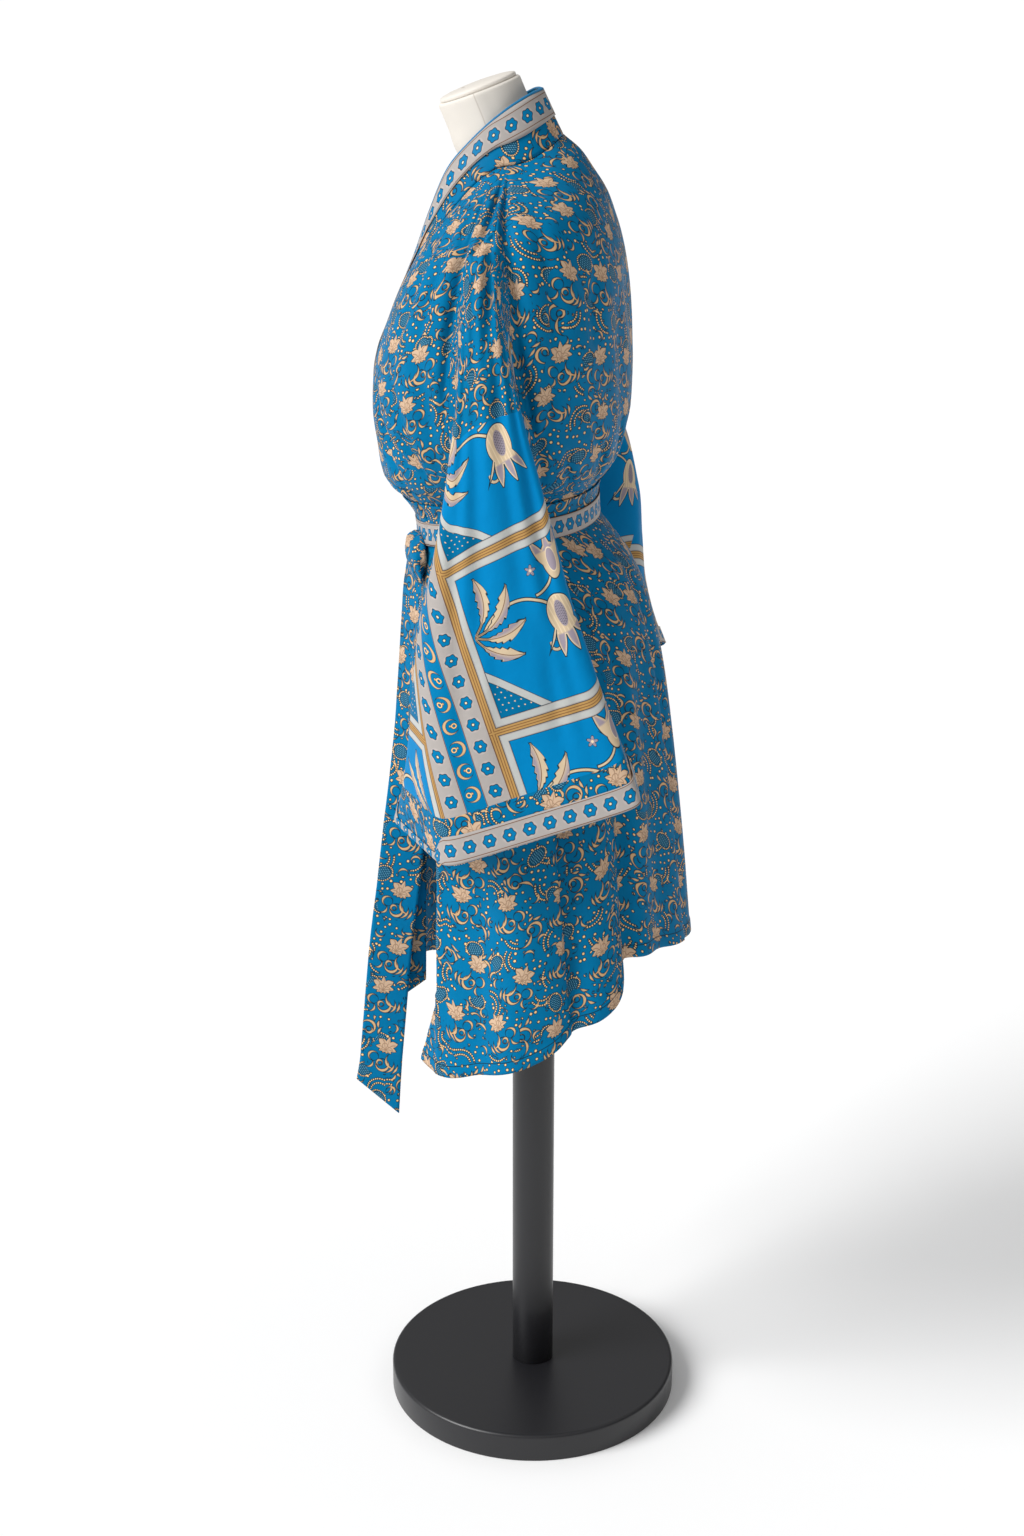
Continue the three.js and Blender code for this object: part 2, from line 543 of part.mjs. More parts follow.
// Belt round the waist, its border, its knot and its two hanging ends.
const BELT_STEPS = 36;
const beltGrid = (rows, out) => rows.map((row) => range(BELT_STEPS).map((j) => cloth((360 * j) / BELT_STEPS - 90, row, out)));
const BELT_OUT = 0.9;
put("belt_wrap", shell(beltGrid([13, 14, 15], BELT_OUT + CLOTH), beltGrid([13, 14, 15], BELT_OUT), true), CLOTH_COLOUR);
put("belt_border", shell(beltGrid([14, 14.97], BELT_OUT + CLOTH + 0.5 + TRIM), beltGrid([14, 14.97], BELT_OUT + CLOTH + 0.5), true), BORDER_COLOUR);

const KNOT_SIDES = 12;
put("belt_knot", loft(KNOT.rows.map(([z, x, y, a, b]) => range(KNOT_SIDES).map((j) => {
  const t = (2 * Math.PI * j) / KNOT_SIDES;
  return [x + a * pow(Math.cos(t), 0.8), y + b * pow(Math.sin(t), 0.8), z];
}))), CLOTH_COLOUR);

function tail(table, frontLonger) {
  const last = table.rows.length - 1;
  return range(2 * last + 1).map((i) => {
    const k = i / 2, v = (c) => at(table, c, k);
    return [-1, 0, 1].map((side) => {
      const turn = rad(v("turn")), half = (TAIL_WIDTH / 2) * side;
      const cut = k > last - 1 ? TAIL_CUT * side * frontLonger * (k - last + 1) : 0;
      return [v("x") + half * Math.cos(turn), v("y") + half * Math.sin(turn), v("z") + cut];
    });
  });
}
put("belt_tail_long", wall(tail(TAIL_LONG, -1), 0, CLOTH), CLOTH_COLOUR);
put("belt_tail_short", wall(tail(TAIL_SHORT, 1), 0, CLOTH), CLOTH_COLOUR);

// ---------------------------------------------------------------- form and stand
const FORM_SIDES = 24;
function formRing(k, grow = 0, up = 0) {
  const v = (c) => at(FORM, c, k), lean = rad(v("lean"));
  return range(FORM_SIDES).map((j) => {
    const t = (2 * Math.PI * j) / FORM_SIDES;
    const d = (v("b") + grow) * Math.sin(t);
    return [(v("a") + grow) * Math.cos(t), v("cy") + d * Math.cos(lean) - up * Math.sin(lean), v("z") + d * Math.sin(lean) + up * Math.cos(lean)];
  });
}
const FORM_LAST = FORM.rows.length - 1;
put("form", loft(FORM.rows.map((_, k) => formRing(k))), FORM_COLOUR);
put("neck_cap", loft([[-4, 0.35], [-3.5, 3], [-8, 5.5], [-24, 7.5]].map(([grow, up]) => formRing(FORM_LAST, grow, up))), FORM_COLOUR);

const lathe = (profile, sides) => loft(profile.map(([r, z]) => range(sides).map((j) => {
  const t = (2 * Math.PI * j) / sides;
  return [r * Math.cos(t), r * Math.sin(t), z];
})));
put("stand_pole", lathe([[POLE_RADIUS, BASE_HEIGHT + SEAM], [POLE_RADIUS, FORM_BOTTOM - SEAM]], 28), METAL_COLOUR);
put("stand_base", lathe([[BASE_RADIUS - 1.5, 0], [BASE_RADIUS, 1.5], [BASE_RADIUS, BASE_HEIGHT - 5],
  [BASE_RADIUS - 1.5, BASE_HEIGHT - 1.5], [BASE_RADIUS - 5, BASE_HEIGHT]], 56), METAL_COLOUR);

export default model;
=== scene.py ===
"""The looks of a printed satin kimono on a dress form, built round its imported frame.

Lengths in the tables are millimetres in the frame's own axes: +Z up, front -Y, the garment's left +X.
"""
import ast
import math
import operator

import bmesh
import bpy
import numpy as np
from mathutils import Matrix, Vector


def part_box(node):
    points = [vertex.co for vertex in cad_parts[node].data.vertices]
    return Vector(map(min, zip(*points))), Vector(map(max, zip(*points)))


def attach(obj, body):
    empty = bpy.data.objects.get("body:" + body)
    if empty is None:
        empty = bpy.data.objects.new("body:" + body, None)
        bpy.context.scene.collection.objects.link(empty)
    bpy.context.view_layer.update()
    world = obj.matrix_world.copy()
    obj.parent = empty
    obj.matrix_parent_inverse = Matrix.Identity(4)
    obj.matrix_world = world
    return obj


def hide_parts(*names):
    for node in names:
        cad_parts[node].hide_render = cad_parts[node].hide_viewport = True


bl_info = {
    "name": "Kimono on a dress form",
    "version": (1, 0, 0),
    "blender": (4, 5, 0),
    "location": "3D Viewport > Sidebar > Kimono",
    "description": "Builds a printed satin kimono, its dress form and stand round a packed frame",
    "category": "Mesh",
}

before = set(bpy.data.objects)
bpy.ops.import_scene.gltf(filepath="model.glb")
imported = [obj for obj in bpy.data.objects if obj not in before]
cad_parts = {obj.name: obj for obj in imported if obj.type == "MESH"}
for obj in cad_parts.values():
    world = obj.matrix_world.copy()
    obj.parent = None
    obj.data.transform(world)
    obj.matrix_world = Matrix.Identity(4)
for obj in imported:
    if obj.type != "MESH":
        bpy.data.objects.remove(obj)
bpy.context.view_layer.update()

MM = 0.001
CLOTH = 1.2          # wall that stands for one layer of satin
TRIM = 0.9           # wall of a border strip
NECK_TRIM_GAP, CUFF_TRIM_GAP, BELT_TRIM_GAP = 0.7, 0.6, 0.5     # between a border and the cloth beneath it
UNDER = 4.2          # how far the right front lies beneath the left one
UNDER_FROM, UNDER_RUN = 222, 22      # angle where it starts to, and over how many degrees
HEM_DEEP = 14        # turned-up hem
BODY_ROUND = 165     # radius at which an angle round the body is read as a length
# Body rows: the belt's lower edge, the hem, the neckband's end under the belt, and the armhole's two ends.
WAIST_ROW, HEM_ROW, BAND_END_ROW = 15, 25, 14
ARM_TOP, ARM_FOOT = 3.15, 10.45
# Stations of the neckband: its last row on the chest, its border's last one, and where it leaves the neck.
BAND_LAST, TRIM_LAST, LAPEL_FROM = 15, 13, 9
TAIL_WIDTH, TAIL_CUT = 50, 21        # belt end: its width, and half the rise of its slanted cut
CUFF = 9             # the sleeve's last section
FOLD_FOOT = 560      # height where a hanging fold has reached its place at the hem
# The left front's free part turns back between two angles, this deep, from the first height and in full at
# the second. Towards its corner the turn starts a little further back.
TURN_FROM, TURN_TO, TURN_DEEP, TURN_TOP, TURN_FULL = -38, -80, 94, 888, 700
CORNER_BACK, CORNER_TOP, CORNER_HIGH = 11, 610, 95


# ---------------------------------------------------------------- tables
def table(columns, rows):
    """Rows of numbers as a dictionary of named columns."""
    return dict(zip(columns.split(), np.array(rows, float).T))


# Body rings from the neck seam (row 0) to the belt's lower edge. z: height at the side; back, front: how
# much higher or lower the ring is there; cy: middle; a: half width; yf, yb: front and back; n: squareness.
BODICE = table("z back front cy a yf yb n", [
    [1505, 23, -30, -25, 76, -84, 28, 2.0],
    [1492, 21, -42, -26, 106, -98, 45, 2.1],
    [1476, 13, -48, -28, 144, -111, 61, 2.2],
    [1458, 6, -47, -29, 176, -121, 75, 2.3],
    [1436, 0, -42, -30, 190, -131, 85, 2.35],
    [1402, 0, -32, -30, 195, -143, 94, 2.4],
    [1362, 0, -22, -30, 196, -155, 100, 2.4],
    [1322, 0, -12, -30, 195, -166, 103, 2.35],
    [1282, 0, -5, -30, 191, -173, 104, 2.3],
    [1242, 0, 0, -30, 184, -175, 103, 2.2],
    [1208, 0, 0, -30, 173, -172, 97, 2.1],
    [1184, 0, -4, -30, 159, -169, 88, 2.05],
    [1171, 0, -12, -30, 145, -163, 78, 2.0],
    [1161, 0, -16, -30, 135, -145, 70, 2.0],
    [1144, 0, -24, -30, 130, -129, 67, 2.0],
    [1120, 0, -27, -28, 131, -126, 68, 2.0],
])
SKIRT = table("z cy a yf yb", [
    [1120, -28, 131, -126, 68],
    [1100, -24, 137, -127, 84],
    [1071, -16, 147, -130, 106],
    [1019, -8, 158, -136, 130],
    [949, -2, 168, -142, 147],
    [877, 2, 177, -146, 158],
    [804, 6, 187, -149, 167],
    [730, 8, 196, -151, 175],
    [654, 10, 206, -153, 182],
    [600, 10, 211, -154, 187],
    [500, 10, 217, -156, 192],
])
# Height of the belt's lower edge at the side, and how much lower it runs in front.
BELT_FOOT, BELT_DIP = SKIRT["z"][0], -BODICE["front"][-1]
# Height of the hem by angle, from the left side (0) over the back (90) and the right (180) to the front.
HEM = table("deg z", [
    [-90, 545], [-60, 520], [-37, 510], [-20, 524], [-6, 539], [4, 551], [11, 563],
    [18, 580], [30, 597], [37.5, 617], [41.5, 652], [52, 650], [70, 638],
    [90, 630], [110, 634], [130, 646], [142, 650], [147, 622], [154, 598],
    [166, 580], [182, 557], [200, 541], [218, 530], [235, 534], [246, 544],
    [260, 558], [270, 570], [285, 582],
])
# Main hanging folds: angle at the top and at the hem, heights where they start and are full, half width
# in degrees, depth inwards.
FOLDS = table("top hem zTop zFull wide deep", [
    [16, 19, 1090, 760, 6, 9], [4, -4, 1080, 840, 8, -6], [33, 43, 1080, 820, 5, 9],
    [62, 60, 1090, 860, 8, 9], [98, 100, 1090, 800, 8, 10], [128, 126, 1090, 880, 7, 9],
    [150, 145, 1080, 820, 5, 12], [172, 176, 1090, 780, 8, 12], [205, 208, 1085, 840, 8, 10],
    [238, 236, 1090, 860, 7, 8], [-18, -20, 1085, 820, 7, 8],
])
# Seam angles by body row: shoulder and side seam, and the front and back edges of the left armhole.
EDGES = table("row side armF armB", [
    [0, 2, 2, 2], [3, 2, 2, 2], [4, 3, -9, 6], [5, 3, -12.5, 6.5], [6, 3, -13.5, 7.5],
    [7, 3, -13.5, 8.5], [8, 3, -14, 11], [9, 4, -15, 16.5], [10, 5, -9, 13], [10.6, 6, 6, 6],
    [12, 10, 10, 10], [15, 20, 20, 20],
])
# The neckband's seam on the left: its x, its body row, and whether it is behind the neck or in front.
BAND_SEAM = table("x row face", [
    [0, 0, 1], [36, 0, 1], [62, 0, 1], [75.95, 0, 1], [82, 0.5, -1], [90, 1.2, -1], [90, 2.2, -1],
    [85, 3.2, -1], [78, 4.2, -1], [68, 5.4, -1], [54, 6.9, -1], [34, 8.3, -1], [14, 9.7, -1],
    [-2, 12, -1], [-5, 13, -1], [-7, 14, -1],
])
# Its free edge: standing round the neck in mm, then lying on the chest by body row.
BAND_EDGE = table("x y z", [
    [0, 6, 1574], [27, -2, 1572], [45, -17, 1564], [54, -38, 1549], [57, -62, 1527],
    [56, -86, 1499], [52, -106, 1455], [46, -123, 1410], [38, -138, 1375], [28, -154, 1335],
    [9, -169, 1290],
])
LAPEL_EDGE = table("station x row", [
    [9, 28, 6.4], [10, 9, 7.6], [11, -12, 8.9], [12, -34, 10.2], [13, -50, 12], [14, -53, 13], [15, -55, 14],
])
OPEN_EDGE = table("z left right", [
    [1120, -98, -82], [1085, -88, -81], [1055, -78, -80], [1000, -76, -80], [900, -78, -80],
    [500, -78, -80],
])
# Sleeve sections from below the armhole to the cuff: xo, zo outer wall; xi, zi inner wall; of, ob: front
# and back of the outer wall; fx, ff and bx, bf: the inner wall's front and back corners; rise to the back.
SLEEVE = table("xo zo bo of ob zi fx ff bx bf rise n", [
    [204, 1420, 204, -60, -10, 1215, 187, -62, 189, 0, 0, 2],
    [217, 1368, 217, -60, -2, 1196, 189, -64, 191, 6, 0, 2.1],
    [228, 1305, 228, -64, 11, 1176, 190, -68, 193, 15, 0.02, 2.3],
    [236, 1238, 235, -70, 27, 1144, 191, -76, 195, 29, 0.05, 2.6],
    [242, 1166, 240, -77, 44, 1106, 192, -92, 197, 42, 0.1, 3],
    [249, 1092, 245, -82, 62, 1058, 188, -112, 200, 56, 0.15, 3.4],
    [257, 1020, 251, -84, 83, 1001, 182, -121, 204, 76, 0.2, 3.8],
    [268, 946, 259, -82, 104, 946, 174, -129, 209, 96, 0.26, 4.6],
    [281, 879, 268, -73, 124, 897, 163, -138, 216, 113, 0.32, 7],
    [293, 835, 277, -64, 137, 865, 154, -145, 222, 124, 0.355, 11],
])
# How much further back the right sleeve's back wall hangs, by section.
RIGHT_BACK = table("shift", [[0], [8], [20], [36], [46], [42], [26], [10], [2], [0]])
# Hanging creases of the sleeve's outer wall: place across it at the top and at the cuff (-1 front, 1 back),
# half width, depth, and the section where they fade.
SLEEVE_CREASES = table("pTop pCuff wide deep last", [
    [-0.45, -0.2, 0.16, 5, 7.5], [0.2, 0.35, 0.15, 4, 6.5],
    [0.6, 0.72, 0.1, 4, 8.5], [-0.7, -0.62, 0.1, 3, 9],
])
# Sharper creases that fall from the shoulder over the sleeve, as lines seen from its side.
SLEEVE_LINES = table("y0 z0 y1 z1 wide deep", [
    [-28, 1470, -30, 1300, 5, 8], [-46, 1462, -40, 1385, 4, 5], [-20, 1350, -14, 1180, 7, 4],
    [-47, 1350, -52, 1190, 6, 3], [8, 1260, 44, 1060, 8, 4], [-66, 1200, -60, 1030, 7, 3.5],
    [30, 1080, 62, 900, 10, 4], [-30, 1080, -18, 890, 9, -3],
])
# Rings of the dress form from its foot to the top of its neck: height, middle, half width, half depth, and
# how far it is tipped back, in degrees.
FORM = table("z cy a b lean", [
    [893, -2, 104, 78, 0], [897, -2, 122, 90, 0], [910, -2, 136, 101, 0], [935, -3, 144, 108, 0],
    [980, -6, 144, 108, 0], [1040, -14, 132, 98, 0], [1090, -24, 119, 85, 0], [1135, -32, 112, 77, 0],
    [1180, -36, 124, 86, 0], [1230, -42, 142, 100, 0], [1272, -45, 150, 104, 0], [1320, -41, 158, 96, 0],
    [1370, -36, 168, 86, 0], [1410, -33, 172, 76, 0], [1436, -30, 173, 64, 0], [1455.8, -27, 164, 53, 1],
    [1473.2, -25, 139, 44, 3], [1489, -25, 105.4, 39, 6], [1499.8, -29, 78.4, 42, 11],
    [1512, -35, 61, 46, 15], [1530, -43, 52, 48, 18], [1550, -51, 49, 47, 20],
    [1571, -60, 48, 47, 20], [1573.5, -61, 46.5, 45.5, 20],
])
# Centre lines of the belt's hanging ends, with the angle that their width is turned to about the upright.
TAIL_LONG = table("x y z turn", [
    [54, -121, 1088, 34], [55, -128.5, 1032, 34], [58, -131.5, 975, 37], [62, -133, 917, 45],
    [66, -135.5, 855, 56], [70, -138, 807, 68], [73, -141.5, 763, 80], [76, -147.5, 705, 87],
    [76, -157.5, 629, 88], [76, -172, 478, 88], [76, -177, 427, 88],
])
TAIL_SHORT = table("x y z turn", [
    [46, -123.5, 1086, 34], [47, -131.5, 1030, 34], [50, -133.5, 975, 38], [53, -134.5, 917, 46],
    [56, -136, 855, 56], [57, -140, 801, 68], [58, -141.5, 763, 78], [58, -143, 710, 84],
    [58, -144.5, 600, 84], [58, -145, 553, 84],
])
# Rings of the belt's knot: height, middle, half width and half depth.
KNOT = table("z x y a b", [
    [1058, 57, -125, 21, 3.5], [1070, 58, -125, 24, 7], [1086, 59, -125, 24, 10],
    [1102, 58, -124, 19, 9], [1110, 57, -122, 9, 4],
])


# ---------------------------------------------------------------- curves and rings
def at(rows, name, key, key_name=None):
    """Column `name` at `key`, by a cubic through the rows. A row's slope is the harmonic mean of the steps on
    its two sides, and nought where they turn, so the curve never overshoots. The key is the row number, or
    the column key_name."""
    y = rows[name]
    x = np.arange(len(y), dtype=float) if key_name is None else rows[key_name]
    if x[-1] < x[0]:
        x, y = x[::-1], y[::-1]
    key = np.clip(np.asarray(key, float), x[0], x[-1])
    step = np.diff(y) / np.diff(x)
    before, after = step[:-1], step[1:]
    both = before + after
    mean = np.where(before * after > 0, 2 * before * after / np.where(both == 0, 1, both), 0)
    slope = np.concatenate([step[:1], mean, step[-1:]])
    i = np.clip(np.searchsorted(x, key, side="left") - 1, 0, len(x) - 2)
    h = x[i + 1] - x[i]
    t = (key - x[i]) / h
    rise = y[i] * (2 * t**3 - 3 * t**2 + 1) + y[i + 1] * (3 * t**2 - 2 * t**3)
    return rise + h * (slope[i] * (t**3 - 2 * t**2 + t) + slope[i + 1] * (t**3 - t**2))


def ease(t):
    """0 to 1 with level ends: 3t^2 - 2t^3 of t held between 0 and 1."""
    t = np.clip(t, 0, 1)
    return t * t * (3 - 2 * t)


def mix(a, b, t):
    """From a (t = 0) to b (t = 1) in a straight line."""
    return a + (b - a) * t


def power(v, e):
    """|v| to the power e, with v's sign."""
    return np.sign(v) * np.abs(v) ** e


def unit(v):
    """Vectors over their own length."""
    return v / np.maximum(np.linalg.norm(v, axis=-1, keepdims=True), 1e-9)


def gap_degrees(mm):
    """Degrees that a length takes on a ring of 150 mm radius."""
    return math.degrees(mm / 150)


def ring_point(deg, a, cy, yf, yb, n, z, lift=0):
    """Point of a rounded oblong |x/a|^n + |y/b|^n = 1, where b is the depth on the point's own side,
    moved out by lift."""
    c, s = np.cos(np.radians(deg)), np.sin(np.radians(deg))
    b = np.where(s >= 0, yb - cy, cy - yf)
    nx, ny = c / a, s / b
    length = np.hypot(nx, ny)
    x = a * power(c, 2 / n) + lift * nx / length
    y = cy + b * power(s, 2 / n) + lift * ny / length
    return np.stack(np.broadcast_arrays(x, y, z), -1)


def fold_depth(deg, z):
    """Sum of the hanging folds: each is a bell curve round its own angle, which deepens as it falls."""
    total = 0
    for top, hem, z_top, z_full, wide, deep in zip(*FOLDS.values()):
        where = mix(top, hem, np.clip((z_top - z) / (z_top - FOLD_FOOT), 0, 1))
        gap = (deg - where + 180) % 360 - 180
        total = total + deep * ease((z_top - z) / (z_top - z_full)) * np.exp(-((gap / wide) ** 2))
    return total


def bodice(deg, row):
    """Body above the belt's lower edge: the ring of each row, tipped at the back and at the front."""
    s = np.sin(np.radians(deg))
    tip = np.where(s > 0, at(BODICE, "back", row) * s * s, at(BODICE, "front", row) * np.abs(s) ** 1.5)
    ring = [at(BODICE, name, row) for name in ("a", "cy", "yf", "yb", "n")]
    return ring_point(deg, *ring, at(BODICE, "z", row) + tip)


def skirt(deg, t, lift=0):
    """Body from the belt's lower edge (t = 0) to the hem (t = 1), with its hanging folds."""
    s = np.sin(np.radians(deg))
    start = BELT_FOOT - np.where(s < 0, BELT_DIP * np.abs(s) ** 1.5, 0)
    z = mix(start, at(HEM, "z", deg, "deg"), t)
    z_ring = z + (BELT_FOOT - start) * (1 - np.clip(t * 4, 0, 1))
    a, cy, yf, yb = (at(SKIRT, name, z_ring, "z") for name in ("a", "cy", "yf", "yb"))
    return ring_point(deg, a, cy, yf, yb, 2, z, lift - fold_depth(deg, z))


def body(deg, row):
    """Whole body: the bodice to row 15, then the skirt, whose free left part folds back behind its corner."""
    deg, row = np.broadcast_arrays(np.asarray(deg, float), np.asarray(row, float))
    t = np.clip((row - WAIST_ROW) / (HEM_ROW - WAIST_ROW), 0, 1)
    z = skirt(deg, t)[..., 2]
    start = TURN_FROM - CORNER_BACK * np.clip((CORNER_TOP - z) / CORNER_HIGH, 0, 1)
    share = np.clip((start - deg) / (TURN_FROM - TURN_TO), 0, 1)
    turned = TURN_DEEP * share * (2 - share) * ease((TURN_TOP - z) / (TURN_TOP - TURN_FULL))
    low = skirt(deg, t, -turned)
    return np.where((row <= WAIST_ROW)[..., None], bodice(deg, np.minimum(row, WAIST_ROW)), low)


def line_creases(x, z, rows):
    """Troughs laid along given lines: each is deepest past its start, fades to both ends, and has its own
    half width on each side of the line."""
    total = np.zeros(np.broadcast(x, z).shape)
    x0, z0, x1, z1, wide, deep = list(rows.values())[:6]
    for k in range(len(deep)):
        run = np.array([x1[k] - x0[k], z1[k] - z0[k]])
        t = ((x - x0[k]) * run[0] + (z - z0[k]) * run[1]) / (run @ run)
        across = ((x - x0[k]) * run[1] - (z - z0[k]) * run[0]) / np.linalg.norm(run)
        along = np.sin(np.pi * np.clip(t, 0, 1) ** 0.7) ** 1.2
        half = np.where(across > 0, wide[k], rows.get("soft", wide)[k])
        total -= deep[k] * along * np.exp(-((across / half) ** 2))
    return total


def unrolled(rows):
    """A table of creases with its angles as lengths round the body."""
    return {name: np.radians(col) * BODY_ROUND if name.startswith("deg") else col
            for name, col in rows.items()}


# Creases of the body: from (deg0, z0) to (deg1, z1), half width, depth inwards (negative is a ridge).
CREASES = table("deg0 z0 deg1 z1 wide deep", [
    [-14, 1478, -16, 1330, 8, 5], [-24, 1470, -34, 1300, 9, 4.5], [-38, 1450, -52, 1290, 9, 4],
    [6, 1480, 14, 1330, 9, 6], [22, 1478, 36, 1250, 13, 5], [40, 1470, 62, 1230, 15, 4],
    [-30, 1330, -20, 1180, 14, 6], [-50, 1300, -30, 1190, 10, 5], [-70, 1290, -45, 1180, 9, 5],
    [-62, 1240, -25, 1172, 7, 5], [70, 1380, 78, 1180, 18, 5], [48, 1260, 64, 1165, 8, 4],
    [34, 1230, 44, 1160, 7, 4], [88, 1260, 96, 1168, 9, 4], [110, 1320, 104, 1172, 14, 5],
    [128, 1280, 140, 1170, 9, 4], [146, 1460, 128, 1270, 13, 5], [172, 1478, 168, 1330, 9, 5],
    [196, 1470, 208, 1300, 9, 4.5], [220, 1440, 232, 1290, 9, 4], [206, 1330, 198, 1180, 13, 5],
    [238, 1290, 214, 1180, 9, 5], [250, 1260, 224, 1180, 7, 4],
    [44, 1100, 47, 820, 9, 4], [76, 1098, 80, 760, 10, 5], [112, 1098, 114, 840, 9, 4],
    [8, 1096, 2, 900, 6, 4], [-34, 1092, -38, 820, 8, 4], [-52, 1092, -56, 900, 6, 3],
    [186, 1098, 190, 860, 9, 5], [222, 1090, 222, 820, 8, 4], [252, 1090, 250, 880, 7, 3],
    [50, 1000, 54, 690, 12, -3], [18, 980, 26, 700, 9, -3], [134, 980, 136, 720, 10, -3],
    [4, 1512, 7.5, 1385, 5, 8], [7.5, 1445, 11, 1300, 5.5, 10], [9.5, 1350, 21, 1205, 6, 10],
    [1, 1500, -5, 1415, 4.5, 7], [-9, 1485, -13, 1410, 5, 5], [-11, 1452, -15.5, 1335, 7, 6],
    [-14.5, 1385, -17, 1235, 6, 6], [177, 1506, 171, 1400, 6, 7], [172, 1424, 163, 1235, 6, 8],
    [187, 1500, 194, 1395, 6, 6], [192, 1422, 197, 1240, 6, 5.5], [180, 1496, 183, 1440, 4.5, 4],
    [25, 1400, 27, 1290, 9, 4], [27, 1310, 22, 1225, 8, 4.5], [20, 1250, 26, 1172, 6, 4],
    [-45, 1236, -22, 1164, 6, 6], [-62, 1218, -42, 1160, 6, 6], [60, 1228, 66, 1164, 6, 6],
    [79, 1244, 83, 1164, 7, 6], [120, 1236, 112, 1165, 6, 5], [218, 1232, 206, 1164, 6, 6],
    [-84, 1100, -84, 800, 26, -5], [-80, 1161, -28, 1163, 3.5, 9], [-49, 1168, -53, 1104, 3, 8],
    [-27, 900, -28, 480, 13, 3], [86, 1400, 92, 1290, 16, 4], [58, 1440, 48, 1320, 10, 4],
])
# Pleats that fall open below the belt: sharp (wide) on the side towards the front, soft behind.
PLEATS = table("deg0 z0 deg1 z1 wide deep soft", [
    [10, 1010, 21, 440, 2.4, 9, 15], [-38.5, 960, -38.5, 400, 3, -4.5, 10],
    [40, 960, 41, 540, 2.6, 9, 14], [166, 960, 160, 470, 14, 7, 3],
    [139, 940, 141, 540, 13, 8, 3], [74, 1000, 78, 520, 3.5, 6, 12], [104, 980, 108, 560, 12, 5, 4],
    [214, 980, 212, 420, 12, 6, 3],
])


def cloth(deg, row, out=0, under=False):
    """Body point moved out by some mm along the surface's own normal, the cross of its two directions.
    The right front tucks beneath the left one."""
    deg, row = np.broadcast_arrays(np.asarray(deg, float), np.asarray(row, float))
    middle = body(deg, row)
    round_it = body(deg + 0.2, row) - body(deg - 0.2, row)
    down_it = body(deg, np.minimum(row + 0.02, HEM_ROW)) - body(deg, np.maximum(row - 0.02, 0))
    round_body = np.radians(deg) * BODY_ROUND
    creased = sum(line_creases(round_body, middle[..., 2], unrolled(rows)) for rows in (CREASES, PLEATS))
    shift = out + creased * ease((np.asarray(row) - 0.2) / 1.5)
    if under:
        shift = shift - UNDER * ease((deg - UNDER_FROM) / UNDER_RUN)
    return middle - unit(np.cross(round_it, down_it)) * np.asarray(shift)[..., None]


# ---------------------------------------------------------------- meshes
def arc_lengths(points, axis):
    """Distance run along a grid's rows (axis 1) or columns (axis 0), from the first point of each."""
    steps = np.linalg.norm(np.diff(points, axis=axis), axis=-1)
    start = np.zeros_like(np.take(steps, [0], axis=axis))
    return np.cumsum(np.concatenate([start, steps], axis=axis), axis=axis)


def flat_map(points, middle=0.5):
    """UV of a grid in its flat cut, in metres: u runs from its middle column, v down from its first row."""
    u = arc_lengths(points, 1)
    v = arc_lengths(points, 0)
    centre = u[:, [int(middle * (points.shape[1] - 1))]]
    return np.stack([u - centre, -v], -1) * MM


def surface(name, points, uv, material, inside=None, wall="satin", wrap=False, from_edge=None):
    """Mesh of a grid of points in mm, with a UV at each of its columns and one more where it wraps. Faces
    point away from `inside`, and each vertex keeps from_edge, its distance in mm from a hem or seam. wall
    names the size in the sidebar that Solidify makes it thick by, inwards."""
    rows, cols = points.shape[:2]
    i, j = np.meshgrid(np.arange(rows - 1), np.arange(cols if wrap else cols - 1), indexing="ij")
    k = (j + 1) % cols
    corners = np.stack([i * cols + j, (i + 1) * cols + j, (i + 1) * cols + k, i * cols + k], -1)
    corner_uv = np.stack([uv[i, j], uv[i + 1, j], uv[i + 1, j + 1], uv[i, j + 1]], -2)
    if inside is not None:
        flat = points.reshape(-1, 3)
        across = flat[corners[..., 2]] - flat[corners[..., 0]]
        side = np.cross(across, flat[corners[..., 3]] - flat[corners[..., 1]])
        if np.sum(side * (flat[corners].mean(-2) - np.asarray(inside))) < 0:
            corners, corner_uv = corners[..., ::-1], corner_uv[..., ::-1, :]
    mesh = bpy.data.meshes.new(name)
    mesh.from_pydata(points.reshape(-1, 3) * MM, [], corners.reshape(-1, 4))
    mesh.uv_layers.new(name="UVMap").data.foreach_set("uv", corner_uv.reshape(-1))
    if from_edge is not None:
        mesh.attributes.new("edge", "FLOAT", "POINT").data.foreach_set("value", np.ravel(from_edge) * MM)
    mesh.shade_smooth()
    mesh.materials.append(material)
    piece = bpy.data.objects.new(name, mesh)
    bpy.context.collection.objects.link(piece)
    if wall:
        solidify = piece.modifiers.new("wall", "SOLIDIFY")
        solidify.thickness = getattr(bpy.context.scene.kimono_sizes, wall)
        solidify.offset = -1
    return piece


def fit_in(piece, nodes):
    """Rides a piece on the one body, in place of its CAD nodes, which it hides."""
    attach(piece, "root")
    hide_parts(*nodes)
    return piece


# Each sheet's cut as it shows: the widest and longest it runs in mm, and how much of that rectangle is cloth.
# They were taken off this model's own panels, so that the two agree is no test of either.
# Where the long strips lie on the printed cloth, in metres from the panels' own middle.
ON_CLOTH = {"neckband": (0.31, 0.17), "belt": (0.05, 0.4), "belt_end": (0.02, 0.03)}


def sheet(piece, nodes):
    """Puts a cut piece of cloth on the one body in place of its CAD nodes."""
    fit_in(piece, nodes)


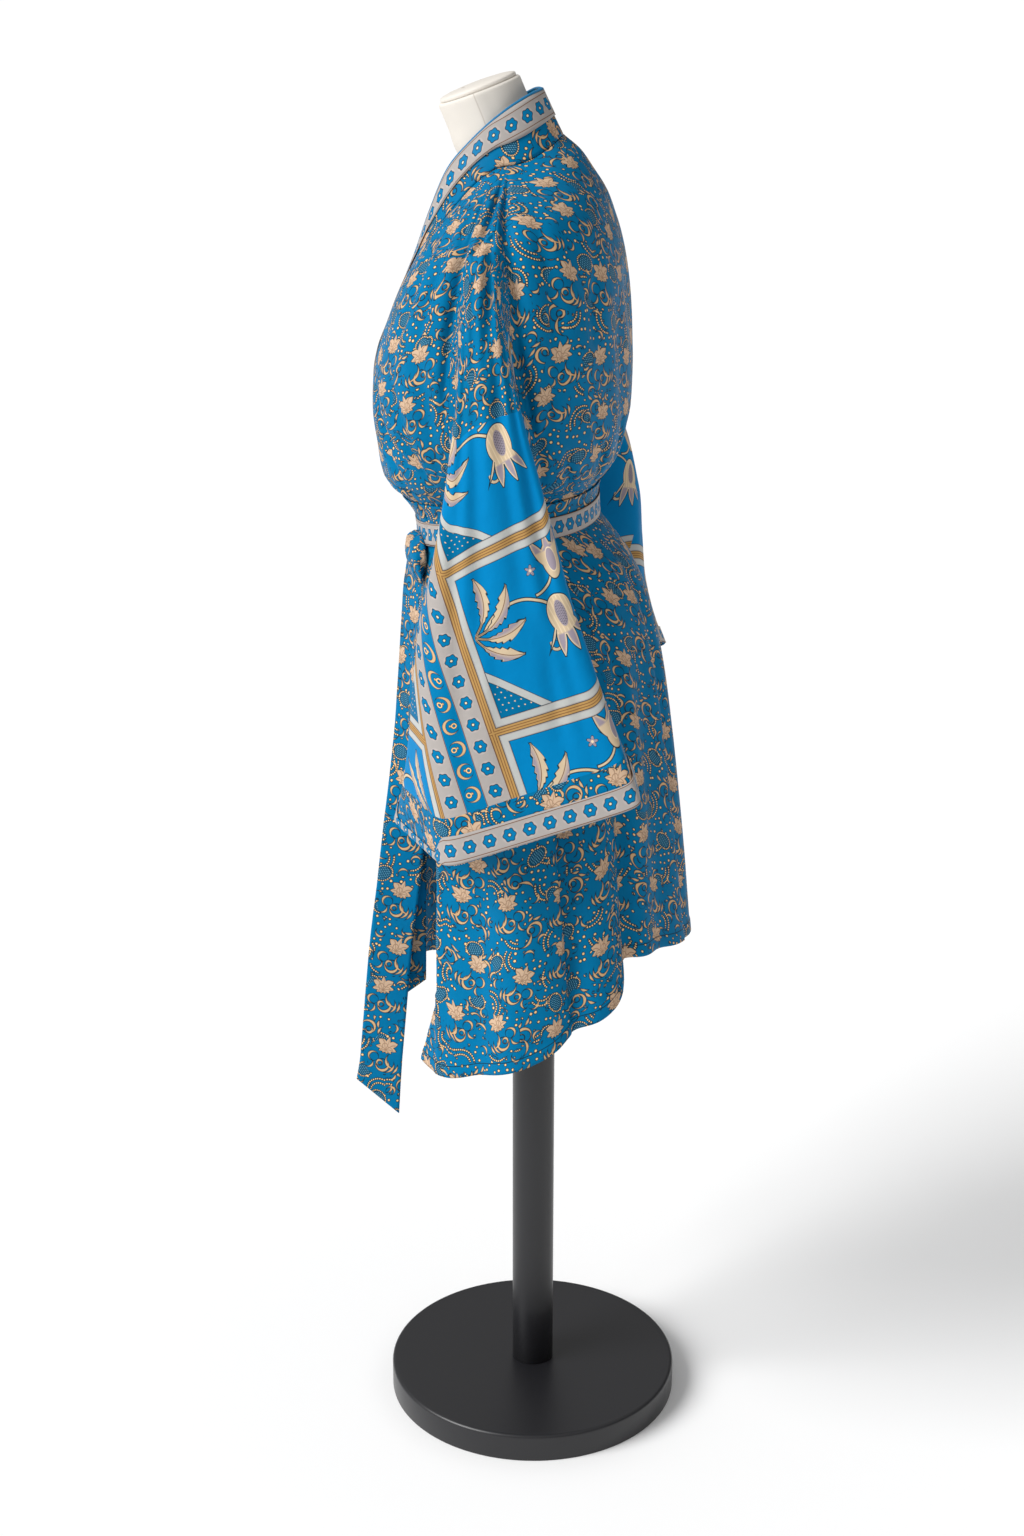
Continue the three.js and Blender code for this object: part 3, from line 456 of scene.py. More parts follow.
# ---------------------------------------------------------------- body panels
def edge_degrees(name, row):
    """Angle of a seam or an armhole's edge at a body row, by the cubic through its table."""
    return at(EDGES, name, row, "row")


def seam_angle(row, name):
    """Angle of the shoulder and side seam, the armhole's edge between its two ends, or the skirt's side seam,
    which eases back by 16 degrees over the first 8 rows below the belt."""
    in_arm = (row > ARM_TOP) & (row < ARM_FOOT)
    upper = np.where(in_arm, edge_degrees(name, row), edge_degrees("side", row))
    at_belt = EDGES["side"][-1]
    return np.where(row > WAIST_ROW, mix(at_belt, at_belt + 16, ease((row - WAIST_ROW) / 8)), upper)


def ring_degrees(x, row, face):
    """Angle at which a bodice ring has a given x, in front (-1) or behind (1): the ring's formula for x
    solved for the angle."""
    a, n = at(BODICE, "a", row), at(BODICE, "n", row)
    return face * np.degrees(np.arccos(np.clip(power(x / a, n / 2), -1, 1)))


SEAM_LINE = {"row": BAND_SEAM["row"],
             "deg": ring_degrees(BAND_SEAM["x"], BAND_SEAM["row"], BAND_SEAM["face"])}
LAPEL_LINE = {"station": LAPEL_EDGE["station"], "row": LAPEL_EDGE["row"],
              "deg": ring_degrees(LAPEL_EDGE["x"], LAPEL_EDGE["row"], -1)}


def front_edge(row, side):
    """Angle of a front's edge: the neckband's seam above the belt, read off its stations, and the open
    edge below it. The right front's is counted from the right side."""
    stations = np.linspace(3, 15, 600)
    seam_rows, seam_degs = at(SEAM_LINE, "row", stations), at(SEAM_LINE, "deg", stations)
    seam = np.interp(np.minimum(row, BAND_END_ROW), seam_rows, seam_degs)

    def opening(r):
        z = skirt(np.full_like(r, -60), np.clip((r - WAIST_ROW) / (HEM_ROW - WAIST_ROW), 0, 1))[..., 2]
        deg = at(OPEN_EDGE, side, z, "z")
        return deg if side == "left" else -180 - deg

    start = opening(np.full_like(row, WAIST_ROW))
    by_band = mix(seam + gap_degrees(0.8), start, ease(row - BAND_END_ROW))
    return np.where(row >= WAIST_ROW, opening(row), by_band)


def steps(first, last, near, far):
    """Row numbers from first to last, closer where the rows are further apart, and on both sides of the
    armhole's two ends."""
    rows = np.concatenate([np.arange(first, WAIST_ROW, near), np.arange(WAIST_ROW, last, far), [last]])
    gates = [g + d for g in (ARM_TOP, ARM_FOOT) for d in (-0.01, 0.01)]
    return np.unique(np.concatenate([rows, gates]))


def panel(rows, cols, from_deg, to_deg, under=False):
    """Grid of cloth between two seam angles of each row."""
    across = np.linspace(0, 1, cols)[None, :]
    return cloth(mix(from_deg[:, None], to_deg[:, None], across), rows[:, None], 0, under)


SEAM_GAP = gap_degrees(0.05)
HEM_PROUD = 0.9      # how far the turned-up hem stands over the panel
BODY_AXIS = (0, -30, 1000)


def with_hem(grid):
    """The panel's height above its hem, and the panel with its turned-up hem standing a little proud."""
    height = arc_lengths(grid[::-1], 0)[::-1]
    proud = HEM_PROUD * ease((HEM_DEEP + 1 - height) / 2)
    return height, grid + outward(grid, BODY_AXIS) * proud[..., None]


def make_back(material):
    """Back panel, from the left seam round to the right one, from the neck to the hem."""
    rows = steps(0, HEM_ROW, 0.1, 0.085)
    start = seam_angle(rows, "armB") + SEAM_GAP
    hem, grid = with_hem(panel(rows, 178, start, 180 - start))
    piece = surface("back_panel", grid, flat_map(grid), material, BODY_AXIS, from_edge=hem)
    sheet(piece, ["back"])


def make_front(side, material):
    """One front, from its side seam to its front edge. The right one runs beneath the left."""
    right = side == "right"
    rows = steps(0.05, HEM_ROW, 0.1, 0.085)
    start = seam_angle(rows, "armF") - SEAM_GAP
    end = np.where(rows == rows[0], np.minimum(front_edge(rows, side), start - 3), front_edge(rows, side))
    if right:
        start, end = 180 - start, 180 - end
    hem, grid = with_hem(panel(rows, 160, start, end, right))
    piece = surface(f"{side}_front_panel", grid, flat_map(grid), material, BODY_AXIS, from_edge=hem)
    sheet(piece, [f"{side}_front"])


# ---------------------------------------------------------------- neckband
NECK_CENTRE = (0, -60, 1400)
BAND_GAP = 0.7       # between the neckband's seam and the body panel's edge


def band_point(k, u, side):
    """Point of the neckband at station k, u across from its seam (0) to its free edge (1): a straight line
    where it stands round the neck, and the chest's own curve where it lies there."""
    right = side == "right"

    def turn(deg):
        return 180 - deg if right else deg

    deg, row = at(SEAM_LINE, "deg", k), at(SEAM_LINE, "row", k)
    start = cloth(turn(deg), row, 0, right)
    end = np.stack([at(BAND_EDGE, axis, np.minimum(k, 10)) for axis in "xyz"], -1)
    if right:
        end = end * [-1, 1, 1]
    d, r = at(LAPEL_LINE, "deg", k, "station"), at(LAPEL_LINE, "row", k, "station")
    t = ease(k - LAPEL_FROM)[..., None]
    lying = cloth(turn(mix(deg, d, u)), mix(row, r, u), 0, right)
    point = mix(mix(start, end, u[..., None]), lying, t)
    toward = mix(end, cloth(turn(d), r, 0, right), t) - start
    return point + unit(toward) * BAND_GAP * (1 - u[..., None])


def band_grid(last, across):
    """Grid of the neckband, from the right front's end over the nape to the left front's end."""
    half = np.linspace(0, last, 150)
    k, u = np.meshgrid(half, across, indexing="ij")
    return np.concatenate([band_point(k, u, "right")[:0:-1], band_point(k, u, "left")])


def grid_normals(grid, wrap=False):
    """Unit normals of a grid, the cross of its two differences."""
    du = np.roll(grid, -1, 1) - np.roll(grid, 1, 1) if wrap else np.gradient(grid, axis=1)
    return unit(np.cross(np.gradient(grid, axis=0), du))


def outward(grid, inside, wrap=False):
    """Grid normals turned away from a point."""
    normals = grid_normals(grid, wrap)
    return normals * np.sign(np.sum(normals * (grid - np.asarray(inside))))


def strip_map(grid):
    """UV of a strip in metres: u along it from its middle, v across it from its middle line."""
    along = arc_lengths(grid, 0)[:, [grid.shape[1] // 2]]
    across = arc_lengths(grid, 1)
    u = (along - along[len(along) // 2]) + 0 * across
    return np.stack([u, across - across[:, -1:] / 2], -1) * MM


def make_neckband(cloth_material, border_material, piping_material):
    """Neckband with its border and the thin piping along its free edge."""
    grid = band_grid(BAND_LAST, np.linspace(0, 1, 15))
    band = surface("neckband_strip", grid, flat_map(grid) + ON_CLOTH["neckband"], cloth_material,
                   NECK_CENTRE)
    sheet(band, ["neckband"])
    trim = band_grid(TRIM_LAST, np.linspace(0.42, 0.985, 9))
    trim = trim + outward(trim, NECK_CENTRE) * (NECK_TRIM_GAP + TRIM)
    border = surface("neckband_border_strip", trim, strip_map(trim), border_material, NECK_CENTRE,
                     wall="strip")
    sheet(border, ["neckband_border"])
    rim = grid[:, -1]
    normal = outward(grid, NECK_CENTRE)[:, -1]
    edgeward = unit(grid[:, -1] - grid[:, -2])
    piping = tube(rim + normal * 0.2 + edgeward * 0.6, normal, edgeward, 1.5)
    piece = surface("neckband_piping", piping, wrap_map(piping), piping_material, wall=None, wrap=True)
    face_out(piece)
    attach(piece, "root")


def wrap_map(grid):
    """UV of a closed grid in metres: u round it from its middle column, v along it, one column more."""
    closed = np.concatenate([grid, grid[:, :1]], 1)
    return flat_map(closed)


def tube(path, across, up, radius):
    """Rings of a round bead carried along a path, in the plane of two given directions."""
    turn = np.linspace(0, 2 * np.pi, 8, endpoint=False)[None, :, None]
    return path[:, None] + radius * (np.cos(turn) * across[:, None] + np.sin(turn) * up[:, None])


def face_out(piece):
    """Turns a closed or nearly closed piece so that its signed volume is positive."""
    mesh = piece.data
    corners = np.zeros(len(mesh.loops), int)
    mesh.loops.foreach_get("vertex_index", corners)
    points = np.zeros(len(mesh.vertices) * 3)
    mesh.vertices.foreach_get("co", points)
    points = points.reshape(-1, 3)
    points = points - points.mean(0)
    q = points[corners.reshape(-1, 4)]
    volume = np.sum(q[:, 0] * np.cross(q[:, 1], q[:, 2])) + np.sum(q[:, 0] * np.cross(q[:, 2], q[:, 3]))
    if volume < 0:
        mesh.flip_normals()


# ---------------------------------------------------------------- sleeves
LOOP = 192           # points round a sleeve
# Heights from which the sleeve's top leaves the body sideways, and then down its surface, and over how far.
SIDEWAYS_FROM, SIDEWAYS_RUN = 1225, 90
DOWN_FROM, DOWN_RUN = 1370, 70


def along_line(points, count, last=False):
    """Points evenly spaced by length along a line of points."""
    run = arc_lengths(points, 0)
    where = np.linspace(0, run[-1], count, endpoint=last)
    return np.stack([np.interp(where, run, points[:, axis]) for axis in range(3)], -1)


def arm_loop(right, lower=0, out=0):
    """Loop in the armhole: down its back edge and up its front edge, a hair inside it. It can be taken a
    little lower on the body, or out from it."""
    rows = np.linspace(ARM_TOP + 0.03, ARM_FOOT - 0.08, 120)
    inset = gap_degrees(0.12)

    def place(deg, row):
        return cloth(180 - deg if right else deg, row + lower, out, right)

    top = place(edge_degrees("side", ARM_TOP), ARM_TOP + 0.01)
    foot = place(edge_degrees("side", ARM_FOOT), ARM_FOOT - 0.05)
    back = place(edge_degrees("armB", rows) - inset, rows)
    front = place(edge_degrees("armF", rows) + inset, rows)[::-1]
    down = along_line(np.concatenate([[top], back, [foot]]), LOOP // 2)
    up = along_line(np.concatenate([[foot], front, [top]]), LOOP // 2)
    return np.concatenate([down, up])


def sleeve_loop(s, right):
    """Sections of the sleeve: a rounded square in (q, p), q from the inner wall (-1) to the outer (1) and p
    from front to back, laid over the section's four corners, less its hanging creases."""
    s = np.asarray(s, float)
    s = s if s.ndim == 2 else np.atleast_1d(s)[:, None]
    t = np.linspace(0, 2 * np.pi, LOOP, endpoint=False)[None, :]
    v = {name: at(SLEEVE, name, s) for name in SLEEVE}
    radius = (np.abs(np.cos(t)) ** v["n"] + np.abs(np.sin(t)) ** v["n"]) ** (-1 / v["n"])
    q, p = radius * np.cos(t), radius * np.sin(t)
    h, w = (1 + q) / 2, (1 + p) / 2
    x = mix(mix(v["fx"], v["bx"], w), mix(v["xo"], v["bo"], w), h)
    shift = at(RIGHT_BACK, "shift", s) if right else 0
    y = mix(mix(v["ff"], v["bf"], w), mix(v["of"], v["ob"], w), h) + shift * w
    for top, cuff, wide, deep, last in zip(*SLEEVE_CREASES.values()):
        fade = ease((last - s) / 3) * ease(s + 0.3)
        x = x - deep * fade * np.exp(-(((p - mix(top, cuff, s / CUFF)) / wide) ** 2)) * ease((q - 0.2) / 0.6)
    z = mix(v["zi"], v["zo"], h) + v["rise"] * y
    return np.stack([-x if right else x, y, z], -1)


def sleeve_grid(right):
    """The armhole's loop, a smooth run from it to the first section by a cubic, then the sections down to the
    cuff. The run leaves the shoulder down the body's own surface and meets the section along the sleeve."""
    arm = arm_loop(right)
    first, second = sleeve_loop([0, 0.3], right)
    t = np.linspace(0, 1, 24, endpoint=False)[:, None, None]
    chord = first - arm
    reach = np.linalg.norm(chord, axis=-1, keepdims=True)
    middle = cloth(180 - 1 if right else 1, 6.6, 16, right)
    height = arm[:, 2:]
    along = mix(unit(chord), unit(middle - arm), ease((height - SIDEWAYS_FROM) / SIDEWAYS_RUN) * 0.85)
    down = unit(arm_loop(right, 0.25) - arm)
    along = mix(unit(along), down, ease((height - DOWN_FROM) / DOWN_RUN))
    leave, meet = unit(along) * reach * 0.9, unit(second - first) * reach * 0.8
    run = arm + chord * (3 * t**2 - 2 * t**3) + leave * (t**3 - 2 * t**2 + t) + meet * (t**3 - t**2)
    grid = np.concatenate([run, sleeve_loop(np.linspace(0, CUFF, 150), right)])
    outer = ease((np.cos(np.linspace(0, 2 * np.pi, LOOP, endpoint=False)) + 0.2) / 0.5)
    dent = line_creases(grid[..., 1], grid[..., 2], SLEEVE_LINES) * outer * ease(arc_lengths(grid, 0) / 8)
    grid[..., 0] += -dent if right else dent
    return grid


# The straight line of the sleeve's framed print on its outer wall: y where it crosses each height.
SPINE = table("z y", [[1500, -216], [1100, -69], [841, 25], [780, 48]])


def sleeve_map(grid):
    """UV of the sleeve in metres: u is the length round the ring from the print's spine line, v the length
    up each column from the cuff's edge. One column more closes the ring at the back of the inner wall."""
    half = LOOP // 2
    order = np.roll(np.arange(LOOP), half)
    rolled = grid[:, order]
    closed = np.concatenate([rolled, rolled[:, :1]], 1)
    run = arc_lengths(closed, 1)
    run = run - run[:, [half]]
    outer = closed[:, half]
    run = run - (at(SPINE, "y", outer[:, 2], "z") - outer[:, 1])[:, None]
    v = arc_lengths(closed[::-1], 0)[::-1]
    return rolled, np.stack([run, v], -1) * MM


def make_sleeve(side, cloth_material, border_material):
    """A sleeve and the border round its cuff, which is folded under along the cuff's short front wall: there
    its upper edge eases down from section 8.3 to 8.8."""
    right = side == "right"
    grid, uv = sleeve_map(sleeve_grid(right))
    middle = (-215 if right else 215, 0, 1050)
    piece = surface(f"{side}_sleeve_panel", grid, uv, cloth_material, middle, wrap=True)
    sheet(piece, [f"{side}_sleeve"])
    t = np.linspace(0, 2 * np.pi, LOOP, endpoint=False)
    upper = 8.3 + 0.5 * ease((-np.sin(t) - 0.72) / 0.12)
    cuff = sleeve_loop(mix(upper, 8.985, np.linspace(0, 1, 14)[:, None]), right)
    cuff = np.roll(cuff, LOOP // 2, 1)
    cuff = cuff + outward(cuff, middle, True) * (CUFF_TRIM_GAP + TRIM)
    closed = np.concatenate([cuff, cuff[:, :1]], 1)
    round_it = arc_lengths(closed, 1)
    up = arc_lengths(closed[::-1], 0)[::-1]
    uv = np.stack([round_it - round_it[:, [LOOP // 2]], up - up[:1] / 2], -1) * MM
    border = surface(f"{side}_cuff_border_strip", cuff, uv, border_material, middle, wall="strip",
                     wrap=True)
    sheet(border, [f"{side}_cuff_border"])


# ---------------------------------------------------------------- belt
KNOT_MIDDLE = (60, -124, 1093)
BELT_OUT = 0.9       # how far the belt's inner side stands over the cloth


def belt_loop(rows, out, count=280):
    """Rings of the belt: the body's own rings beneath it, moved out."""
    deg = np.linspace(-90, 270, count, endpoint=False)[None, :]
    return cloth(deg, np.asarray(rows, float)[:, None], out)


def tail_grid(rows, longer):
    """A hanging belt end: a straight line across its centre line, turned about the upright, with the
    slanted cut worked in over its last stretch."""
    last = len(rows["z"]) - 1
    k = np.linspace(0, last, 120)[:, None]
    across = np.linspace(-1, 1, 15)[None, :]
    turn = np.radians(at(rows, "turn", k))
    cut = TAIL_CUT * across * longer * np.clip(k - last + 1, 0, 1)
    x = at(rows, "x", k) + TAIL_WIDTH / 2 * across * np.cos(turn)
    y = at(rows, "y", k) + TAIL_WIDTH / 2 * across * np.sin(turn)
    return np.stack([x, y, at(rows, "z", k) + cut], -1)


def make_belt(cloth_material, border_material):
    """The belt round the waist, its border, its knot and its two hanging ends. The knot is a stack of rounded
    rings, rucked five times round, that lean back to the side."""
    axis = (0, -30, 1130)
    wrap = belt_loop(np.linspace(13, 15, 16), BELT_OUT + CLOTH)
    uv = wrap_map(wrap) + ON_CLOTH["belt"]
    piece = surface("belt_band", wrap, uv, cloth_material, axis, wrap=True)
    sheet(piece, ["belt_wrap"])
    rows = belt_loop(np.linspace(14, 14.97, 9), BELT_OUT + CLOTH + BELT_TRIM_GAP + TRIM)
    uv = wrap_map(rows)
    uv[..., 1] -= uv[-1:, :, 1] / 2
    piece = surface("belt_border_strip", rows, uv, border_material, axis, wall="strip", wrap=True)
    sheet(piece, ["belt_border"])
    for name, rows, longer in (("long", TAIL_LONG, -1), ("short", TAIL_SHORT, 1)):
        grid = tail_grid(rows, longer)
        uv = flat_map(grid) + ON_CLOTH["belt_end"]
        piece = surface(f"belt_{name}_end", grid, uv, cloth_material)
        sheet(piece, [f"belt_tail_{name}"])
    k = np.linspace(0, 4, 30)[:, None]
    t = np.linspace(0, 2 * np.pi, 48, endpoint=False)[None, :]
    ruck = 1 + 0.05 * np.sin(5 * t + 2 * k)
    x = at(KNOT, "x", k) + at(KNOT, "a", k) * ruck * power(np.cos(t), 0.8)
    y = at(KNOT, "y", k) + at(KNOT, "b", k) * ruck * power(np.sin(t), 0.8) + (x - KNOT_MIDDLE[0]) * 0.35
    knot = np.stack(np.broadcast_arrays(x, y, at(KNOT, "z", k)), -1)
    piece = surface("belt_knot_roll", knot, wrap_map(knot), cloth_material, KNOT_MIDDLE, wall=None,
                    wrap=True)
    close_ends(piece, knot.shape[1])
    fit_in(piece, ["belt_knot"])


def close_ends(piece, cols):
    """Closes a wrapped grid's first and last ring with a face each."""
    bm = bmesh.new()
    bm.from_mesh(piece.data)
    open_edges = [e for e in bm.edges if e.is_boundary]
    bmesh.ops.holes_fill(bm, edges=open_edges, sides=cols + 1)
    bmesh.ops.recalc_face_normals(bm, faces=bm.faces)
    bm.to_mesh(piece.data)
    bm.free()


# ---------------------------------------------------------------- form and stand
FORM_SIDES, TURNED_SIDES = 96, 128
# How much smaller the form is under the cloth, and its neck between its seams.
COVERED_LESS, NECK_LESS = 7.0, 1.8
# Profile of the neck cap: how much smaller it is than the neck's top ring, and how far above it.
CAP = table("grow up", [
    [-4, 0.35], [-3.6, 1], [-3.5, 2.6], [-3.8, 3.8], [-4.6, 4.6], [-8, 5.7], [-14, 6.7], [-24, 7.5],
    [-36, 7.9],
])


def form_ring(k, grow=0, up=0):
    """Rings of the dress form: ellipses tipped back by their lean, made larger by grow, and lifted by up
    along their own axis."""
    k = np.asarray(k, float)[:, None]
    t = np.linspace(0, 2 * np.pi, FORM_SIDES, endpoint=False)[None, :]
    grow, up = (np.atleast_2d(np.asarray(g, float)) for g in (grow, up))
    lean = np.radians(at(FORM, "lean", k))
    deep = (at(FORM, "b", k) + grow) * np.sin(t)
    x = (at(FORM, "a", k) + grow) * np.cos(t)
    y = at(FORM, "cy", k) + deep * np.cos(lean) - up * np.sin(lean)
    z = at(FORM, "z", k) + deep * np.sin(lean) + up * np.cos(lean)
    return np.stack([x, y, z], -1)


def make_form(jersey, plastic):
    """The dress form and its neck cap. The form is smaller than its solid under the cloth, so that no crease
    cuts it. The cover's side seams stand out on the neck, as it is flattened between them."""
    last = len(FORM["z"]) - 1
    k = np.concatenate([np.linspace(0, last - 1, 160), np.linspace(last - 1, last, 8)[1:]])
    under_cloth = ease((last - 4 - k) / 2)[:, None]
    t = np.linspace(0, 2 * np.pi, FORM_SIDES, endpoint=False)
    between_seams = np.minimum(np.abs(np.sin(t)) / 0.3, 1)
    grid = form_ring(k, -COVERED_LESS * under_cloth - NECK_LESS * (1 - under_cloth) * between_seams)
    from_seam = np.broadcast_to(50 * np.abs(np.sin(t)), grid.shape[:2])
    piece = surface("form_body", grid, wrap_map(grid), jersey, (0, -30, 1250), wall=None, wrap=True,
                    from_edge=from_seam)
    close_ends(piece, FORM_SIDES)
    fit_in(piece, ["form"])
    grid = form_ring(np.full(len(CAP["up"]), last), CAP["grow"][:, None], CAP["up"][:, None])
    piece = surface("form_neck_cap", grid, wrap_map(grid), plastic, (0, -60, 1572), wall=None, wrap=True)
    close_ends(piece, FORM_SIDES)
    fit_in(piece, ["neck_cap"])


def lathe(name, profile, material):
    """A turned piece: a profile of radius and height in mm, carried round the upright."""
    t = np.linspace(0, 2 * np.pi, TURNED_SIDES, endpoint=False)[None, :]
    radius, z = np.array(profile, float).T[:, :, None]
    grid = np.stack(np.broadcast_arrays(radius * np.cos(t), radius * np.sin(t), z), -1)
    piece = surface(name, grid, wrap_map(grid), material, (0, 0, float(np.mean(z))), wall=None, wrap=True)
    close_ends(piece, TURNED_SIDES)
    return piece


def rounded(radius, z, r, turns, start):
    """Corner of a profile: a quarter circle of radius r about (radius, z), from angle start."""
    angle = np.radians(start + np.linspace(0, 90, turns))
    return [[radius + r * math.cos(a), z + r * math.sin(a)] for a in angle]


def make_stand(paint):
    """Pole and weighted base, sized from their solids."""
    low, high = (np.array(corner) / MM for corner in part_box("stand_base"))
    radius, top = high[0], high[2]
    foot, rim = 1.2, 4.5
    profile = rounded(radius - foot, foot, foot, 5, -90) + rounded(radius - rim, top - rim, rim, 9, 0)
    # Its top is flat, and the last ring in the middle is closed by one face.
    profile += [[radius - 12, top], [60, top]]
    fit_in(lathe("stand_base_disc", profile, paint), ["stand_base"])
    low, high = (np.array(corner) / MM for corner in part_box("stand_pole"))
    heights = np.linspace(low[2], high[2], 12)
    bevel = 0.6
    profile = [[high[0] - bevel, low[2]]] + [[high[0], z + bevel * (i == 0)] for i, z in enumerate(heights)]
    fit_in(lathe("stand_pole_tube", profile, paint), ["stand_pole"])


# ---------------------------------------------------------------- finishes
def linear(code):
    """Linear colour of an sRGB hex code."""
    channels = [int(code[i:i + 2], 16) / 255 for i in (1, 3, 5)]
    return tuple(c / 12.92 if c <= 0.04045 else ((c + 0.055) / 1.055) ** 2.4 for c in channels) + (1.0,)


def add_node(tree, kind, inputs=None, **settings):
    """Adds a node with its settings, and links or sets its inputs by name or number."""
    node = tree.nodes.new(kind)
    for name, value in settings.items():
        setattr(node, name, value)
    for name, value in (inputs or {}).items():
        socket = node.inputs[name]
        if isinstance(value, bpy.types.NodeSocket):
            tree.links.new(value, socket)
        else:
            socket.default_value = value
    return node


SIGNS = {ast.Add: "ADD", ast.Sub: "SUBTRACT", ast.Mult: "MULTIPLY", ast.Div: "DIVIDE",
         ast.Mod: "FLOORED_MODULO"}
WORDS = {"min": "MINIMUM", "max": "MAXIMUM", "abs": "ABSOLUTE", "sin": "SINE", "cos": "COSINE",
         "atan2": "ARCTAN2", "sign": "SIGN", "ping": "PINGPONG", "more": "GREATER_THAN", "less": "LESS_THAN"}
PLAIN = {"ADD": operator.add, "SUBTRACT": operator.sub, "MULTIPLY": operator.mul, "DIVIDE": operator.truediv}


def formula(tree, text, **values):
    """Lays out lines of `name = expression` as nodes and returns the names' sockets. Besides the Math words
    it knows x(p) and y(p) of a point, hypot(x, y), dist(p, x, y), and fill(d, soft), which is 1 inside a
    shape and 0 outside it. The same step is laid once."""
    known, laid = dict(values), {}

    def key(value):
        return value if isinstance(value, float) else (value.node.name, value.identifier)

    def lay(kind, args, out=0, **settings):
        name = (kind, out, tuple(sorted(settings.items())), tuple(key(a) for a in args))
        if name not in laid:
            laid[name] = add_node(tree, kind, dict(enumerate(args)), **settings).outputs[out]
        return laid[name]

    def math_node(kind, args, **settings):
        if kind in PLAIN and all(isinstance(a, float) for a in args):
            return PLAIN[kind](*args)
        return lay("ShaderNodeMath", args, operation=kind, **settings)

    def point(px, py):
        return lay("ShaderNodeCombineXYZ", [px, py])

    def call(word, args):
        if word in WORDS:
            result = args[0]
            if len(args) == 1:
                return math_node(WORDS[word], args)
            for other in args[1:]:
                result = math_node(WORDS[word], [result, other])
            return result
        if word in ("x", "y"):
            return lay("ShaderNodeSeparateXYZ", args, "xy".index(word))
        if word == "hypot":
            return lay("ShaderNodeVectorMath", [point(*args)], 1, operation="LENGTH")
        if word == "dist":
            return lay("ShaderNodeVectorMath", [args[0], point(*args[1:])], 1, operation="DISTANCE")
        if word == "fill":
            return math_node("MULTIPLY_ADD", [args[0], -1 / args[1], 0.5], use_clamp=True)
        raise ValueError(word)

    def walk(part):
        if isinstance(part, ast.Constant):
            return float(part.value)
        if isinstance(part, ast.Name):
            return known[part.id]
        if isinstance(part, ast.BinOp):
            return math_node(SIGNS[type(part.op)], [walk(part.left), walk(part.right)])
        if isinstance(part, ast.UnaryOp):
            return math_node("MULTIPLY", [walk(part.operand), -1.0])
        return call(part.func.id, [walk(a) for a in part.args])

    for line in ast.parse(text).body:
        known[line.targets[0].id] = walk(line.value)
    return known


def paint(tree, under, share, over):
    """One colour laid over another by a share."""
    node = add_node(tree, "ShaderNodeMix", data_type="RGBA")
    for socket, value in ((node.inputs[0], share), (node.inputs[6], under), (node.inputs[7], over)):
        if isinstance(value, bpy.types.NodeSocket):
            tree.links.new(value, socket)
        else:
            socket.default_value = value
    return node.outputs[2]


def paint_layers(tree, colour, shares, layers, colours):
    """Colours laid over one another in turn, each by its own share. A layer is the names of the two."""
    for share, over in layers:
        colour = paint(tree, colour, shares[share], colours[over])
    return colour


def print_point(tree):
    """Place on the flat cloth, in millimetres."""
    uv = add_node(tree, "ShaderNodeUVMap", uv_map="UVMap").outputs[0]
    return add_node(tree, "ShaderNodeVectorMath", {0: uv, "Scale": 1 / MM}, operation="SCALE").outputs[0]


def scatter(tree, p, pitch, loose, shift, spin):
    """A motif's own point: p counted from the nearest of a set of scattered centres and turned by the
    centre's own share of spin. Returns it with a random share of that centre."""
    start = (shift, shift * 0.7, 0)
    moved = add_node(tree, "ShaderNodeVectorMath", {0: p, 1: start}, operation="ADD").outputs[0]
    near = add_node(tree, "ShaderNodeTexVoronoi", {"Vector": moved, "Scale": 1 / pitch, "Randomness": loose},
                    voronoi_dimensions="2D")
    own = add_node(tree, "ShaderNodeVectorMath", {0: moved, 1: near.outputs["Position"]},
                   operation="SUBTRACT")
    shares = add_node(tree, "ShaderNodeSeparateXYZ", {0: near.outputs["Color"]})
    angle = add_node(tree, "ShaderNodeMath", {0: shares.outputs[0], 1: spin, 2: -spin / 2},
                     operation="MULTIPLY_ADD").outputs[0]
    turned = add_node(tree, "ShaderNodeVectorRotate", {"Vector": own.outputs[0], "Angle": angle},
                      rotation_type="Z_AXIS")
    return turned.outputs[0], shares.outputs[1]


def stroke(x, y, radius, toward, half, thick):
    """Text of a brush stroke's distance: an arc of a circle, thickest in a given direction from its centre
    and pointed at a given distance to each side of there."""
    a = math.radians(toward)
    mx, my = x + radius * math.cos(a), y + radius * math.sin(a)
    return f"abs(dist(p, {x}, {y}) - {radius}) - {thick} + {thick / half:.3f} * dist(p, {mx:.2f}, {my:.2f})"


# Each motif's text gives distances in mm to its outlines, below nought inside; p is the motif's own point.
# Strokes are about 3 mm wide at their thickest, and dots 1.6 to 3 mm across.
LEAF_GROUP = f"""
px = x(p)
py = y(p) - 9
phi = atan2(px, py) + 0.12 * sin(px * 0.4)
r = hypot(px, py)
leaf = r - (10 + 6 * cos(phi)) * (1.1 - 1.2 * ping(phi, 0.34))
veins = min(r * ping(phi - 0.1, 0.34) + 0.1, abs(r - 6.5 + 2 * sin(phi * 3))) - 0.5
leaf_near = 25 - dist(p, 2, -3)
scroll = min({stroke(2, -11, 7.6, 300, 13, 1.7)}, {stroke(-1.6, -9.6, 3.4, 140, 6, 1.3)})
curl = min({stroke(15, -1, 11, 225, 10, 1.5)}, {stroke(-11, -4, 6, 160, 8, 1.4)})
marks = min({stroke(4, -9, 11.5, 335, 7, 1.4)}, {stroke(4, -9, 16, 345, 5.5, 1.4)})
more_marks = {stroke(-15, -14, 6, 330, 5.5, 1.3)}
"""
